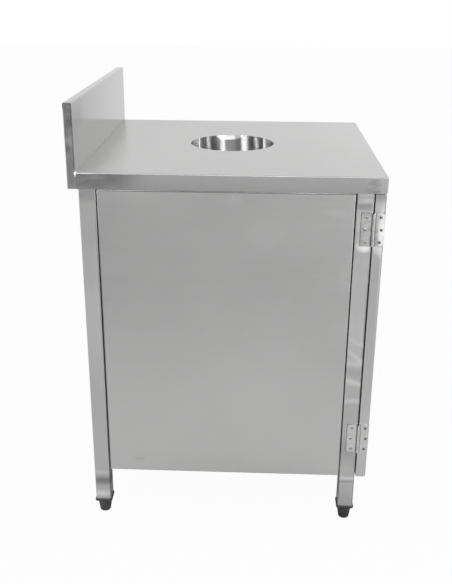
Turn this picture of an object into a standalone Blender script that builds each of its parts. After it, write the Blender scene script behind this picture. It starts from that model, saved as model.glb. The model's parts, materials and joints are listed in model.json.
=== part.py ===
"""Stainless waste bin cabinet: a worktop with a round chute and an upstand, square legs on plastic feet,
folded side and back panels, and one door on two riveted butt hinges.

Metres, +Z up. Seen from the front, X runs to the right; the door is at -Y and the upstand at +Y.
Shapes are drawn in the cabinet's own frame, centred under the worktop, with the floor at Z = 0.
"""

import math

import bmesh
import bpy
from mathutils import Vector

# Sheet metal
SHEET = 0.001
BEND_INSIDE = 0.0012
DOOR_BEND_INSIDE = 0.003
SEAT = 0.0003

# Worktop and upstand
TOP_WIDTH = 0.700
TOP_DEPTH = 0.700
TOP_HEIGHT = 0.885
SKIRT_HEIGHT = 0.0365
SKIRT_RETURN = 0.015
UPSTAND_RISE = 0.150
UPSTAND_DEPTH = 0.0195
UPSTAND_LIP = 0.012
CAP_RETURN = 0.010

# Chute
CHUTE_BORE = 0.212
CHUTE_OFFSET = 0.016
CHUTE_LENGTH = 0.080
CHUTE_LIP_RADIUS = 0.0006
CHUTE_HEM_WIDTH = 0.003
CHUTE_HEM_HEIGHT = 0.006

# Folded stiffeners under the worktop and the shelf
STIFFENER_HEIGHT = 0.025
STIFFENER_WIDTH = 0.050
STIFFENER_FLANGE = 0.015
STIFFENER_CHUTE_GAP = 0.025
STIFFENER_END_GAP = 0.020

# Legs, inserts and feet
LEG_SIZE = 0.038
LEG_WALL = 0.0012
LEG_CORNER = 0.003
LEG_BOTTOM = 0.0425
LEG_SIDE_SETBACK = 0.001
LEG_REAR_SETBACK = 0.0234
FLANGE_OVERHANG = 0.0022
FLANGE_HEIGHT = 0.0062
FLANGE_EDGE = 0.0012
PLUG_HEIGHT = 0.030
STUD_DIAMETER = 0.010
STUD_LENGTH = 0.066
STUD_CHAMFER = 0.001
FOOT_TOP_DIAMETER = 0.0365
FOOT_BASE_DIAMETER = 0.0275
FOOT_EDGE = 0.004
FOOT_FLOOR = 0.012

# Panels, shelf and front rail
PANEL_BOTTOM = 0.131
PANEL_LEG_GAP = 0.0023
PANEL_RETURN = 0.015
SHELF_HEIGHT = 0.165
RAIL_HEIGHT = 0.038
RAIL_DEPTH = 0.025

# Door
DOOR_SETBACK = 0.0012
DOOR_DEPTH = 0.024
DOOR_LEG_GAP = 0.0024
DOOR_TOP_GAP = 0.0015
DOOR_BOTTOM = 0.1305
INNER_SKIN_RETURN = 0.0195

# Hinges
HINGE_HEIGHT = 0.075
HINGE_LEG_LEAF_REACH = 0.027
HINGE_DOOR_LEAF_REACH = 0.025
HINGE_LEAF_SHEET = 0.0015
HINGE_LEAF_CORNER = 0.0045
HINGE_PIN_DIAMETER = 0.004
HINGE_KNUCKLE_WALL = 0.00145
HINGE_MIDDLE_KNUCKLE = 0.0475
HINGE_KNUCKLE_GAP = 0.0004
UPPER_HINGE_DROP = 0.0795
LOWER_HINGE_RISE = 0.1085
RIVET_HEAD_DIAMETER = 0.0070
RIVET_HEAD_HEIGHT = 0.0014
RIVET_SHANK_DIAMETER = 0.0032
RIVET_TAIL = 0.003
RIVET_SPACING = 0.0287
RIVET_REACH = 0.0155
RIVET_STAGGER = 0.0024

# Handle and its screws
HANDLE_CENTRES = 0.128
HANDLE_ROD_DIAMETER = 0.010
HANDLE_PROJECTION = 0.032
HANDLE_BEND = 0.012
HANDLE_EDGE_INSET = 0.055
HANDLE_DROP = 0.1365
SCREW_DIAMETER = 0.004
SCREW_HEAD_DIAMETER = 0.0085
SCREW_HEAD_HEIGHT = 0.0024
SCREW_GRIP = 0.010

# Magnetic catch
CATCH_EDGE_INSET = 0.110
CATCH_WIDTH = 0.040
CATCH_DEPTH = 0.016
CATCH_HEIGHT = 0.013
CATCH_BASE_WIDTH = 0.060
CATCH_BASE_HEIGHT = 0.002
CATCH_CORNER = 0.002
CATCH_HOLE_DIAMETER = 0.0036
MAGNET_WIDTH = 0.030
MAGNET_DEPTH = 0.010
MAGNET_HEIGHT = 0.007
MAGNET_PROUD = 0.0004
STRIKER_WIDTH = 0.038
STRIKER_HEIGHT = 0.013
STRIKER_SHEET = 0.0012
STRIKER_CORNER = 0.002
STRIKER_HOLE_DIAMETER = 0.0042

# How finely round shapes are drawn
FOLD_STEPS = 3
CHUTE_SIDES = 48
FOOT_SIDES = 24
STUD_SIDES = 16
KNUCKLE_SIDES = 16
RIVET_SIDES = 12
RIVET_STEPS = 3
HOLE_SIDES = 12
ROD_SIDES = 12
ROD_BEND_STEPS = 5
FOOT_EDGE_STEPS = 4
SMOOTH_ANGLE = math.radians(40)
SAME_PLACE = 1e-6
OVERCUT = 0.005

# Places that follow from the sizes
HALF_WIDTH = TOP_WIDTH / 2
HALF_DEPTH = TOP_DEPTH / 2
BEND_OUTSIDE = BEND_INSIDE + SHEET
SKIRT_BOTTOM = TOP_HEIGHT - SKIRT_HEIGHT
FRAME_TOP = SKIRT_BOTTOM - SEAT
UPSTAND_TOP = TOP_HEIGHT + UPSTAND_RISE
UPSTAND_FRONT = HALF_DEPTH - UPSTAND_DEPTH
SIDE_FACE = HALF_WIDTH - LEG_SIDE_SETBACK
LEG_INNER_FACE = SIDE_FACE - LEG_SIZE
DOOR_FRONT = -HALF_DEPTH + DOOR_SETBACK
DOOR_REAR = DOOR_FRONT + DOOR_DEPTH
DOOR_TOP = SKIRT_BOTTOM - DOOR_TOP_GAP
FRONT_LEG_FACE = DOOR_REAR + DOOR_LEG_GAP
REAR_LEG_FACE = HALF_DEPTH - LEG_REAR_SETBACK
PANEL_FRONT = FRONT_LEG_FACE + LEG_SIZE + PANEL_LEG_GAP
PANEL_REAR = REAR_LEG_FACE - LEG_SIZE - PANEL_LEG_GAP
BACK_PANEL_HALF = LEG_INNER_FACE - PANEL_LEG_GAP
CHUTE_RADIUS = CHUTE_BORE / 2
CHUTE_OUTSIDE = CHUTE_RADIUS + SHEET
RAIL_BOTTOM = FRAME_TOP - RAIL_HEIGHT
FLANGE_BOTTOM = LEG_BOTTOM - SEAT - FLANGE_HEIGHT
FOOT_TOP = FLANGE_BOTTOM - SEAT
PIN_RADIUS = HINGE_PIN_DIAMETER / 2
BARREL_RADIUS = PIN_RADIUS + SEAT + HINGE_KNUCKLE_WALL
HINGE_X = -SIDE_FACE - SEAT - BARREL_RADIUS
HINGE_Y = (DOOR_REAR + FRONT_LEG_FACE) / 2
HINGE_HEIGHTS = {
    "upper": DOOR_TOP - UPPER_HINGE_DROP,
    "lower": DOOR_BOTTOM + LOWER_HINGE_RISE,
}
HANDLE_X = SIDE_FACE - HANDLE_EDGE_INSET
HANDLE_Z = DOOR_TOP - HANDLE_DROP
CATCH_X = SIDE_FACE - CATCH_EDGE_INSET
CATCH_TOP = RAIL_BOTTOM - SEAT
CATCH_FRONT = FRONT_LEG_FACE
LEG_PLACES = {
    "front_left": (-SIDE_FACE + LEG_SIZE / 2, FRONT_LEG_FACE + LEG_SIZE / 2),
    "front_right": (SIDE_FACE - LEG_SIZE / 2, FRONT_LEG_FACE + LEG_SIZE / 2),
    "rear_left": (-SIDE_FACE + LEG_SIZE / 2, REAR_LEG_FACE - LEG_SIZE / 2),
    "rear_right": (SIDE_FACE - LEG_SIZE / 2, REAR_LEG_FACE - LEG_SIZE / 2),
}
# The origin of the part lies at the middle of its whole outline, barrels, flanges and handle included.
LEFT_LIMIT = HINGE_X - BARREL_RADIUS
RIGHT_LIMIT = max(HALF_WIDTH, SIDE_FACE + FLANGE_OVERHANG)
FRONT_LIMIT = DOOR_FRONT - HANDLE_PROJECTION
FRAME_SHIFT = (-(LEFT_LIMIT + RIGHT_LIMIT) / 2, -(FRONT_LIMIT + HALF_DEPTH) / 2, 0.0)

# Colour, roughness and metallic value of each finish
FINISHES = {
    "brushed": ((0.50, 0.50, 0.49, 1.0), 0.38, 1.0),
    "bright": ((0.62, 0.62, 0.61, 1.0), 0.22, 1.0),
    "black_plastic": ((0.025, 0.025, 0.027, 1.0), 0.55, 0.0),
    "grey_plastic": ((0.42, 0.42, 0.41, 1.0), 0.50, 0.0),
    "magnet": ((0.10, 0.10, 0.11, 1.0), 0.45, 1.0),
}


# Outlines in two dimensions


def rounded(corners, radii, steps=FOLD_STEPS):
    """The outline through the corners, each one rounded to its radius."""
    points = []
    for index, corner in enumerate(corners):
        corner = Vector(corner)
        before = (Vector(corners[index - 1]) - corner).normalized()
        after = (Vector(corners[(index + 1) % len(corners)]) - corner).normalized()
        radius = radii[index]
        if radius < SAME_PLACE:
            points.append(corner)
            continue
        half = before.angle(after) / 2
        centre = corner + (before + after).normalized() * (radius / math.sin(half))
        start = corner + before * (radius / math.tan(half)) - centre
        sweep = (math.pi - 2 * half) * math.copysign(1, after.cross(before))
        for step in range(steps + 1):
            points.append(centre + turned(start, sweep * step / steps))
    return points


def turned(vector, angle):
    """A 2D vector turned to the left by an angle."""
    cosine = math.cos(angle)
    sine = math.sin(angle)
    return Vector((vector.x * cosine - vector.y * sine, vector.x * sine + vector.y * cosine))


def rectangle(low, high, radius=0.0):
    """A rectangle between two corners, with all its corners rounded alike."""
    corners = [low, (high[0], low[1]), high, (low[0], high[1])]
    return rounded(corners, [radius] * len(corners))


def circle(centre, radius, sides):
    """A round outline, with a flat side rather than a corner towards each axis."""
    turn = 2 * math.pi / sides
    angles = [turn * (side + 0.5) for side in range(sides)]
    return [
        (centre[0] + radius * math.cos(angle), centre[1] + radius * math.sin(angle))
        for angle in angles
    ]


def folded(path):
    """The outline of a sheet folded along a path, with the sheet to the left of the path."""
    path = [Vector(point) for point in path]
    near = []
    far = []
    for index, point in enumerate(path):
        before = (point - path[max(index - 1, 0)]).normalized()
        after = (path[min(index + 1, len(path) - 1)] - point).normalized()
        if index in (0, len(path) - 1):
            left = turned(after if index == 0 else before, math.pi / 2)
            near.append(point)
            far.append(point + left * SHEET)
            continue
        turn = math.atan2(before.cross(after), before.dot(after))
        side = math.copysign(1, turn)
        radius = BEND_OUTSIDE if turn > 0 else BEND_INSIDE
        inward = turned(before, side * math.pi / 2)
        centre = point - before * (radius * math.tan(abs(turn) / 2)) + inward * radius
        for step in range(FOLD_STEPS + 1):
            ray = turned(-inward, turn * step / FOLD_STEPS)
            near.append(centre + ray * radius)
            far.append(centre + ray * (radius - side * SHEET))
    return near + far[::-1]


# Closed shapes


def prism(outline, axis, low, high):
    """An outline drawn out along an axis (0, 1 or 2) between two levels."""
    shape = bmesh.new()
    ends = []
    for level in (low, high):
        ring = []
        for point in outline:
            place = list(point)
            place.insert(axis, level)
            ring.append(shape.verts.new(place))
        ends.append(ring)
        shape.faces.new(ring)
    for index in range(len(outline)):
        shape.faces.new((ends[0][index - 1], ends[0][index], ends[1][index], ends[1][index - 1]))
    bmesh.ops.recalc_face_normals(shape, faces=shape.faces)
    return shape


def box(low, high):
    """A block between two corners."""
    return prism(rectangle(low[:2], high[:2]), 2, low[2], high[2])


def turned_body(profile, sides):
    """A closed profile of (radius, height) points turned round the Z axis."""
    shape = bmesh.new()
    rings = []
    for radius, height in profile:
        if radius < SAME_PLACE:
            rings.append([shape.verts.new((0.0, 0.0, height))])
        else:
            rings.append([shape.verts.new((x, y, height)) for x, y in circle((0, 0), radius, sides)])
    for index, ring in enumerate(rings):
        last = rings[index - 1]
        if len(ring) == 1 and len(last) == 1:
            continue
        for side in range(sides):
            corners = [last[side - 1 if len(last) > 1 else 0], last[side if len(last) > 1 else 0]]
            corners += [ring[side if len(ring) > 1 else 0], ring[side - 1 if len(ring) > 1 else 0]]
            shape.faces.new(list(dict.fromkeys(corners)))
    bmesh.ops.recalc_face_normals(shape, faces=shape.faces)
    return shape


def swept_rod(path, radius, sides):
    """A round rod along a path in the YZ plane, with flat ends."""
    shape = bmesh.new()
    rings = []
    for index, (y, z) in enumerate(path):
        ahead = Vector(path[min(index + 1, len(path) - 1)])
        behind = Vector(path[max(index - 1, 0)])
        across = turned((ahead - behind).normalized(), math.pi / 2)
        ring = []
        for out, up in circle((0, 0), radius, sides):
            ring.append(shape.verts.new((out, y + up * across.x, z + up * across.y)))
        rings.append(ring)
    shape.faces.new(rings[0])
    shape.faces.new(rings[-1])
    for last, ring in zip(rings, rings[1:]):
        for side in range(sides):
            shape.faces.new((last[side - 1], last[side], ring[side], ring[side - 1]))
    bmesh.ops.recalc_face_normals(shape, faces=shape.faces)
    return shape


def edges_at(shape, axis, level):
    """The edges that lie in the plane at a level of an axis."""
    return [
        edge
        for edge in shape.edges
        if all(abs(corner.co[axis] - level) < SAME_PLACE for corner in edge.verts)
    ]


def round_edges(shape, edges, radius):
    """Rounds edges of a shape."""
    bmesh.ops.bevel(
        shape,
        geom=edges,
        offset=radius,
        segments=FOLD_STEPS,
        profile=0.5,
        affect="EDGES",
        clamp_overlap=True,
    )
    return shape


def combined(operation, base, *tools):
    """The union or difference of closed shapes, as a new shape."""
    for tool in tools:
        blocks = []
        for shape in (base, tool):
            mesh = bpy.data.meshes.new("block")
            shape.to_mesh(mesh)
            shape.free()
            blocks.append(bpy.data.objects.new("block", mesh))
            bpy.context.scene.collection.objects.link(blocks[-1])
        modifier = blocks[0].modifiers.new(operation.lower(), "BOOLEAN")
        modifier.operation = operation
        modifier.solver = "EXACT"
        modifier.object = blocks[1]
        base = bmesh.new()
        base.from_object(blocks[0], bpy.context.evaluated_depsgraph_get())
        for block in blocks:
            mesh = block.data
            bpy.data.objects.remove(block)
            bpy.data.meshes.remove(mesh)
    return base


def joined(base, *tools):
    """Closed shapes made one."""
    return combined("UNION", base, *tools)


def cut(base, *tools):
    """A shape with other shapes taken out of it."""
    return combined("DIFFERENCE", base, *tools)


def gathered(shapes):
    """Separate shapes as one, so that a single cut takes them all."""
    mesh = bpy.data.meshes.new("gathered")
    together = bmesh.new()
    for shape in shapes:
        shape.to_mesh(mesh)
        shape.free()
        together.from_mesh(mesh)
    bpy.data.meshes.remove(mesh)
    return together


def drilled(base, axis, places, diameter, low, high):
    """A shape with round holes along an axis, from one level to another."""
    holes = [prism(circle(place, diameter / 2, HOLE_SIDES), axis, low, high) for place in places]
    return cut(base, gathered(holes))


def pan(low, high, mouth_axis, mouth_side, inside=BEND_INSIDE):
    """A folded pan: a block hollowed to the sheet's thickness and open on one side."""
    outer = box(low, high)
    hollow_low = [value + SHEET for value in low]
    hollow_high = [value - SHEET for value in high]
    if mouth_side > 0:
        closed = low[mouth_axis]
        hollow_closed = hollow_low[mouth_axis]
        hollow_high[mouth_axis] = high[mouth_axis] + OVERCUT
    else:
        closed = high[mouth_axis]
        hollow_closed = hollow_high[mouth_axis]
        hollow_low[mouth_axis] = low[mouth_axis] - OVERCUT
    round_edges(outer, edges_at(outer, mouth_axis, closed), inside + SHEET)
    hollow = box(hollow_low, hollow_high)
    round_edges(hollow, edges_at(hollow, mouth_axis, hollow_closed), inside)
    return cut(outer, hollow)


# Objects in the scene


def clear_scene():
    """Removes every object that is there."""
    for item in list(bpy.data.objects):
        bpy.data.objects.remove(item)


def finish_material(name, finish):
    """A material of its own for one piece."""
    colour, roughness, metallic = FINISHES[finish]
    material = bpy.data.materials.new(f"{name}_{finish}")
    material.use_nodes = True
    shader = material.node_tree.nodes["Principled BSDF"]
    shader.inputs["Base Color"].default_value = colour
    shader.inputs["Roughness"].default_value = roughness
    shader.inputs["Metallic"].default_value = metallic
    return material


def add_empty(name, parent, place):
    """An empty that carries pieces."""
    empty = bpy.data.objects.new(name, None)
    bpy.context.scene.collection.objects.link(empty)
    empty.parent = parent
    empty.location = place
    return empty


def add_piece(name, shape, finish, parent, place=(0.0, 0.0, 0.0), turn=(0.0, 0.0, 0.0)):
    """A named piece; place is where its shape's origin goes, seen from its parent."""
    mesh = bpy.data.meshes.new(name)
    shape.to_mesh(mesh)
    shape.free()
    mesh.shade_smooth()
    mesh.set_sharp_from_angle(angle=SMOOTH_ANGLE)
    mesh.materials.append(finish_material(name, finish))
    piece = bpy.data.objects.new(name, mesh)
    bpy.context.scene.collection.objects.link(piece)
    piece.parent = parent
    piece.location = place
    piece.rotation_euler = turn
    return piece


# Worktop, end caps, chute and stiffeners


def worktop_shape():
    """The tray with its skirts and returns, the chute hole and the folded upstand, as one sheet."""
    low = (-HALF_WIDTH, -HALF_DEPTH, SKIRT_BOTTOM)
    high = (HALF_WIDTH, UPSTAND_FRONT + SHEET, TOP_HEIGHT)
    tray = box(low, high)
    corners = edges_at(tray, 2, TOP_HEIGHT) + edges_at(tray, 1, -HALF_DEPTH)
    rear = set(edges_at(tray, 1, UPSTAND_FRONT + SHEET))
    bottom = set(edges_at(tray, 2, SKIRT_BOTTOM))
    round_edges(tray, list(set(corners) - rear - bottom), BEND_OUTSIDE)
    past_rear = HALF_DEPTH + OVERCUT
    hollow = box(
        (-HALF_WIDTH + SHEET, -HALF_DEPTH + SHEET, SKIRT_BOTTOM + SHEET),
        (HALF_WIDTH - SHEET, past_rear, TOP_HEIGHT - SHEET),
    )
    mouth = box(
        (-HALF_WIDTH + SKIRT_RETURN, -HALF_DEPTH + SKIRT_RETURN, SKIRT_BOTTOM - OVERCUT),
        (HALF_WIDTH - SKIRT_RETURN, past_rear, SKIRT_BOTTOM + 2 * SHEET),
    )
    tray = cut(tray, hollow, mouth)
    upstand = prism(
        folded(
            [
                (HALF_DEPTH, UPSTAND_TOP - UPSTAND_LIP),
                (HALF_DEPTH, UPSTAND_TOP),
                (UPSTAND_FRONT, UPSTAND_TOP),
                (UPSTAND_FRONT, TOP_HEIGHT - SHEET / 2),
            ]
        ),
        0,
        -HALF_WIDTH,
        HALF_WIDTH,
    )
    hole = prism(
        circle((CHUTE_OFFSET, 0), CHUTE_OUTSIDE + SEAT, CHUTE_SIDES),
        2,
        SKIRT_BOTTOM,
        TOP_HEIGHT + OVERCUT,
    )
    return cut(joined(tray, upstand), hole)


def upstand_cap_shape(side):
    """The plate that closes one end of the upstand and carries the side skirt on to the rear."""
    front = UPSTAND_FRONT + SHEET + SEAT
    lip_bottom = UPSTAND_TOP - UPSTAND_LIP - SEAT
    outer = side * HALF_WIDTH
    path = [(outer - side * CAP_RETURN, HALF_DEPTH), (outer, HALF_DEPTH), (outer, front)]
    lower = prism(folded(path if side < 0 else path[::-1]), 2, SKIRT_BOTTOM, lip_bottom)
    top = UPSTAND_TOP - SHEET - SEAT
    rear = HALF_DEPTH - SHEET - SEAT
    corners = [(front, lip_bottom - SHEET), (rear, lip_bottom - SHEET), (rear, top), (front, top)]
    plate = rounded(corners, [0.0, 0.0, BEND_INSIDE, BEND_INSIDE])
    upper = prism(plate, 0, outer, outer - side * SHEET)
    return joined(lower, upper)


def chute_collar_shape():
    """The rolled ring under the hole: a rounded lip at the worktop and a hem turned out at the bottom."""
    top = TOP_HEIGHT
    bottom = TOP_HEIGHT - CHUTE_LENGTH
    profile = [
        (CHUTE_RADIUS, bottom),
        (CHUTE_RADIUS, top - CHUTE_LIP_RADIUS),
        (CHUTE_RADIUS + CHUTE_LIP_RADIUS, top),
        (CHUTE_OUTSIDE, top),
        (CHUTE_OUTSIDE, bottom + CHUTE_HEM_HEIGHT),
        (CHUTE_OUTSIDE + CHUTE_HEM_WIDTH, bottom + CHUTE_HEM_HEIGHT / 2),
        (CHUTE_OUTSIDE + CHUTE_HEM_WIDTH, bottom),
    ]
    return turned_body(profile, CHUTE_SIDES)


def stiffener_shape(top, half_length):
    """A hat-section stiffener along X, with its two flanges against the sheet above."""
    wide = STIFFENER_WIDTH / 2
    path = [
        (wide + STIFFENER_FLANGE, top),
        (wide, top),
        (wide, top - STIFFENER_HEIGHT),
        (-wide, top - STIFFENER_HEIGHT),
        (-wide, top),
        (-wide - STIFFENER_FLANGE, top),
    ]
    return prism(folded(path), 0, -half_length, half_length)


def add_worktop(cabinet):
    """The worktop group."""
    add_piece("worktop", worktop_shape(), "brushed", cabinet)
    for side, hand in ((-1, "left"), (1, "right")):
        add_piece(f"upstand_end_cap_{hand}", upstand_cap_shape(side), "bright", cabinet)
    add_piece("chute_collar", chute_collar_shape(), "bright", cabinet, (CHUTE_OFFSET, 0, 0))
    distance = CHUTE_OUTSIDE + CHUTE_HEM_WIDTH + STIFFENER_CHUTE_GAP
    distance += STIFFENER_WIDTH / 2 + STIFFENER_FLANGE
    half_length = HALF_WIDTH - SKIRT_RETURN - STIFFENER_END_GAP
    for name, y in (("front", -distance), ("rear", distance)):
        shape = stiffener_shape(TOP_HEIGHT - SHEET - SEAT, half_length)
        add_piece(f"worktop_stiffener_{name}", shape, "brushed", cabinet, (0, y, 0))


# Legs, inserts, studs and feet


def leg_shape():
    """A square tube with rounded corners, drawn round its own axis."""
    half = LEG_SIZE / 2
    inner = half - LEG_WALL
    outside = rectangle((-half, -half), (half, half), LEG_CORNER)
    inside = rectangle((-inner, -inner), (inner, inner), max(LEG_CORNER - LEG_WALL, 0))
    tube = prism(outside, 2, LEG_BOTTOM, FRAME_TOP)
    return cut(tube, prism(inside, 2, LEG_BOTTOM - OVERCUT, FRAME_TOP + OVERCUT))


def leg_insert_shape():
    """A plastic insert: a rounded flange below the tube, a plug inside it and a threaded bore."""
    flange = LEG_SIZE / 2 + FLANGE_OVERHANG
    plug = LEG_SIZE / 2 - LEG_WALL - SEAT
    flange_top = FLANGE_BOTTOM + FLANGE_HEIGHT
    corner = LEG_CORNER + FLANGE_OVERHANG
    base = prism(rectangle((-flange, -flange), (flange, flange), corner), 2, FLANGE_BOTTOM, flange_top)
    rims = edges_at(base, 2, FLANGE_BOTTOM) + edges_at(base, 2, flange_top)
    round_edges(base, rims, FLANGE_EDGE)
    plug_outline = rectangle((-plug, -plug), (plug, plug), max(LEG_CORNER - LEG_WALL, 0))
    post = prism(plug_outline, 2, flange_top - FLANGE_EDGE, flange_top + PLUG_HEIGHT)
    bore = circle((0, 0), STUD_DIAMETER / 2 + SEAT, STUD_SIDES)
    hole = prism(bore, 2, FLANGE_BOTTOM - OVERCUT, flange_top + PLUG_HEIGHT + OVERCUT)
    return cut(joined(base, post), hole)


def foot_shape():
    """A tapered foot with a rounded floor edge and a blind hole for its stud."""
    base = FOOT_BASE_DIAMETER / 2
    profile = [(0.0, FOOT_FLOOR), (0.0, 0.0)]
    for step in range(FOOT_EDGE_STEPS + 1):
        angle = math.pi / 2 * step / FOOT_EDGE_STEPS
        radius = base - FOOT_EDGE + FOOT_EDGE * math.sin(angle)
        profile.append((radius, FOOT_EDGE - FOOT_EDGE * math.cos(angle)))
    profile.append((FOOT_TOP_DIAMETER / 2, FOOT_TOP))
    profile.append((STUD_DIAMETER / 2 + SEAT, FOOT_TOP))
    profile.append((STUD_DIAMETER / 2 + SEAT, FOOT_FLOOR))
    return turned_body(profile, FOOT_SIDES)


def stud_shape():
    """A threaded stud as its outside cylinder, with chamfered ends."""
    low = FOOT_FLOOR + SEAT
    high = low + STUD_LENGTH
    radius = STUD_DIAMETER / 2
    profile = [
        (0.0, low),
        (radius - STUD_CHAMFER, low),
        (radius, low + STUD_CHAMFER),
        (radius, high - STUD_CHAMFER),
        (radius - STUD_CHAMFER, high),
        (0.0, high),
    ]
    return turned_body(profile, STUD_SIDES)


def add_legs(cabinet):
    """Four legs with their inserts; each foot and its stud hang on an empty on the leg's axis."""
    for name, (x, y) in LEG_PLACES.items():
        leg = leg_shape()
        if name == "front_left":
            holes = [(HINGE_Y + reach - y, z) for reach, z in all_rivet_places()]
            leg = drilled(leg, 0, holes, RIVET_SHANK_DIAMETER + 2 * SEAT, -LEG_SIZE, 0)
        add_piece(f"leg_{name}", leg, "bright", cabinet, (x, y, 0))
        add_piece(f"leg_insert_{name}", leg_insert_shape(), "black_plastic", cabinet, (x, y, 0))
        pivot = add_empty(f"foot_axis_{name}", cabinet, (x, y, 0))
        add_piece(f"foot_{name}", foot_shape(), "black_plastic", pivot)
        add_piece(f"foot_stud_{name}", stud_shape(), "bright", pivot)


# Panels, shelf and rail


def add_panels(cabinet):
    """The side panels and the back panel, each a pan with its returns turned inwards."""
    for side, hand in ((-1, "left"), (1, "right")):
        faces = sorted((side * SIDE_FACE, side * (SIDE_FACE - PANEL_RETURN)))
        low = (faces[0], PANEL_FRONT, PANEL_BOTTOM)
        high = (faces[1], PANEL_REAR, FRAME_TOP)
        add_piece(f"side_panel_{hand}", pan(low, high, 0, -side), "brushed", cabinet)
    low = (-BACK_PANEL_HALF, REAR_LEG_FACE - PANEL_RETURN, PANEL_BOTTOM)
    high = (BACK_PANEL_HALF, REAR_LEG_FACE, FRAME_TOP)
    add_piece("back_panel", pan(low, high, 1, -1), "brushed", cabinet)


def shelf_shape():
    """The bottom shelf: a tray turned upside down, notched at its corners for the legs."""
    past_fold = SHEET + BEND_INSIDE + SEAT
    wide = SIDE_FACE - past_fold
    front = FRONT_LEG_FACE
    rear = REAR_LEG_FACE - past_fold
    bottom = PANEL_BOTTOM + SHEET + SEAT
    tray = pan((-wide, front, bottom), (wide, rear, SHELF_HEIGHT), 2, -1)
    notches = []
    for side in (-1, 1):
        outside = side * HALF_WIDTH
        front_inside = side * (LEG_INNER_FACE - SEAT)
        rear_inside = side * (BACK_PANEL_HALF - SHEET - SEAT)
        front_edge = PANEL_FRONT + SHEET + SEAT
        rear_edge = PANEL_REAR - SHEET - SEAT
        for inside, y_from, y_to in (
            (front_inside, -HALF_DEPTH, front_edge),
            (rear_inside, rear_edge, HALF_DEPTH),
        ):
            x_from, x_to = sorted((outside, inside))
            low = (x_from, y_from, bottom - OVERCUT)
            notches.append(box(low, (x_to, y_to, SHELF_HEIGHT + OVERCUT)))
    return cut(tray, gathered(notches))


def front_rail_shape():
    """The channel between the front legs, open to the rear."""
    back = FRONT_LEG_FACE + RAIL_DEPTH
    path = [
        (back, FRAME_TOP),
        (FRONT_LEG_FACE, FRAME_TOP),
        (FRONT_LEG_FACE, RAIL_BOTTOM),
        (back, RAIL_BOTTOM),
    ]
    reach = LEG_INNER_FACE - SEAT
    return prism(folded(path), 0, -reach, reach)


def rear_rail_shape():
    """The channel that closes the rear of the worktop, on the side returns and open to the front."""
    rear = UPSTAND_FRONT + SHEET
    bottom = SKIRT_BOTTOM + SHEET + SEAT
    top = TOP_HEIGHT - SHEET - SEAT
    path = [
        (rear - RAIL_DEPTH, bottom),
        (rear, bottom),
        (rear, top),
        (rear - RAIL_DEPTH, top),
    ]
    reach = HALF_WIDTH - SHEET - SEAT
    return prism(folded(path), 0, -reach, reach)


def add_shelf_and_rails(cabinet):
    """The shelf with its stiffener, the rail over the door opening and the rail under the upstand."""
    add_piece("bottom_shelf", shelf_shape(), "brushed", cabinet)
    half_length = LEG_INNER_FACE - STIFFENER_END_GAP
    stiffener = stiffener_shape(SHELF_HEIGHT - SHEET - SEAT, half_length)
    add_piece("shelf_stiffener", stiffener, "brushed", cabinet)
    add_piece("front_rail", front_rail_shape(), "brushed", cabinet)
    add_piece("rear_rail", rear_rail_shape(), "brushed", cabinet)


# Hinges and rivets


def rivet_places():
    """Three places on a leaf, as (distance from the pin, height from the middle)."""
    return [
        (RIVET_REACH, -RIVET_SPACING),
        (RIVET_REACH + RIVET_STAGGER, 0.0),
        (RIVET_REACH, RIVET_SPACING),
    ]


def all_rivet_places():
    """The rivets of both hinges, as (distance from the pin, height above the floor)."""
    return [(reach, level + z) for level in HINGE_HEIGHTS.values() for reach, z in rivet_places()]


def leaf_shape(side, width, knuckles):
    """A hinge leaf round the pin at the origin: a plate at +X that reaches to +Y or -Y, with its knuckles."""
    half = HINGE_HEIGHT / 2
    reach = side * width
    notch = side * (BARREL_RADIUS + HINGE_KNUCKLE_GAP)
    root = side * BARREL_RADIUS / 3
    corners = [(reach, -half), (reach, half)]
    for low, high in reversed(knuckles):
        corners += [(notch, high), (root, high), (root, low), (notch, low)]
    if knuckles[0][0] > -half:
        corners = corners[:2] + [(notch, half)] + corners[2:] + [(notch, -half)]
    else:
        corners = corners[:2] + corners[3:-1]
    radii = [HINGE_LEAF_CORNER, HINGE_LEAF_CORNER] + [0.0] * (len(corners) - 2)
    plate = prism(rounded(corners, radii), 0, BARREL_RADIUS - HINGE_LEAF_SHEET, BARREL_RADIUS)
    curls = [prism(circle((0, 0), BARREL_RADIUS, KNUCKLE_SIDES), 2, low, high) for low, high in knuckles]
    bore = prism(circle((0, 0), PIN_RADIUS + SEAT, KNUCKLE_SIDES), 2, -HINGE_HEIGHT, HINGE_HEIGHT)
    leaf = cut(joined(plate, *curls), bore)
    holes = [(side * distance, z) for distance, z in rivet_places()]
    return drilled(leaf, 0, holes, RIVET_SHANK_DIAMETER + 2 * SEAT, 0, 2 * BARREL_RADIUS)


def pin_shape():
    """The hinge pin, flush with the ends of the barrel."""
    return prism(circle((0, 0), PIN_RADIUS, KNUCKLE_SIDES), 2, -HINGE_HEIGHT / 2, HINGE_HEIGHT / 2)


def rivet_shape(wall):
    """A domed rivet along Z: its head stands on Z = 0 and its shank runs down through leaf and wall."""
    head = RIVET_HEAD_DIAMETER / 2
    shank = RIVET_SHANK_DIAMETER / 2
    length = 2 * SEAT + HINGE_LEAF_SHEET + wall + RIVET_TAIL
    dome = (head**2 + RIVET_HEAD_HEIGHT**2) / (2 * RIVET_HEAD_HEIGHT)
    sweep = math.asin(head / dome)
    profile = [(0.0, -length), (shank, -length), (shank, 0.0)]
    for step in range(RIVET_STEPS + 1):
        angle = sweep * (1 - step / RIVET_STEPS)
        height = RIVET_HEAD_HEIGHT - dome * (1 - math.cos(angle))
        profile.append((dome * math.sin(angle), height))
    return turned_body(profile, RIVET_SIDES)


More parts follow.
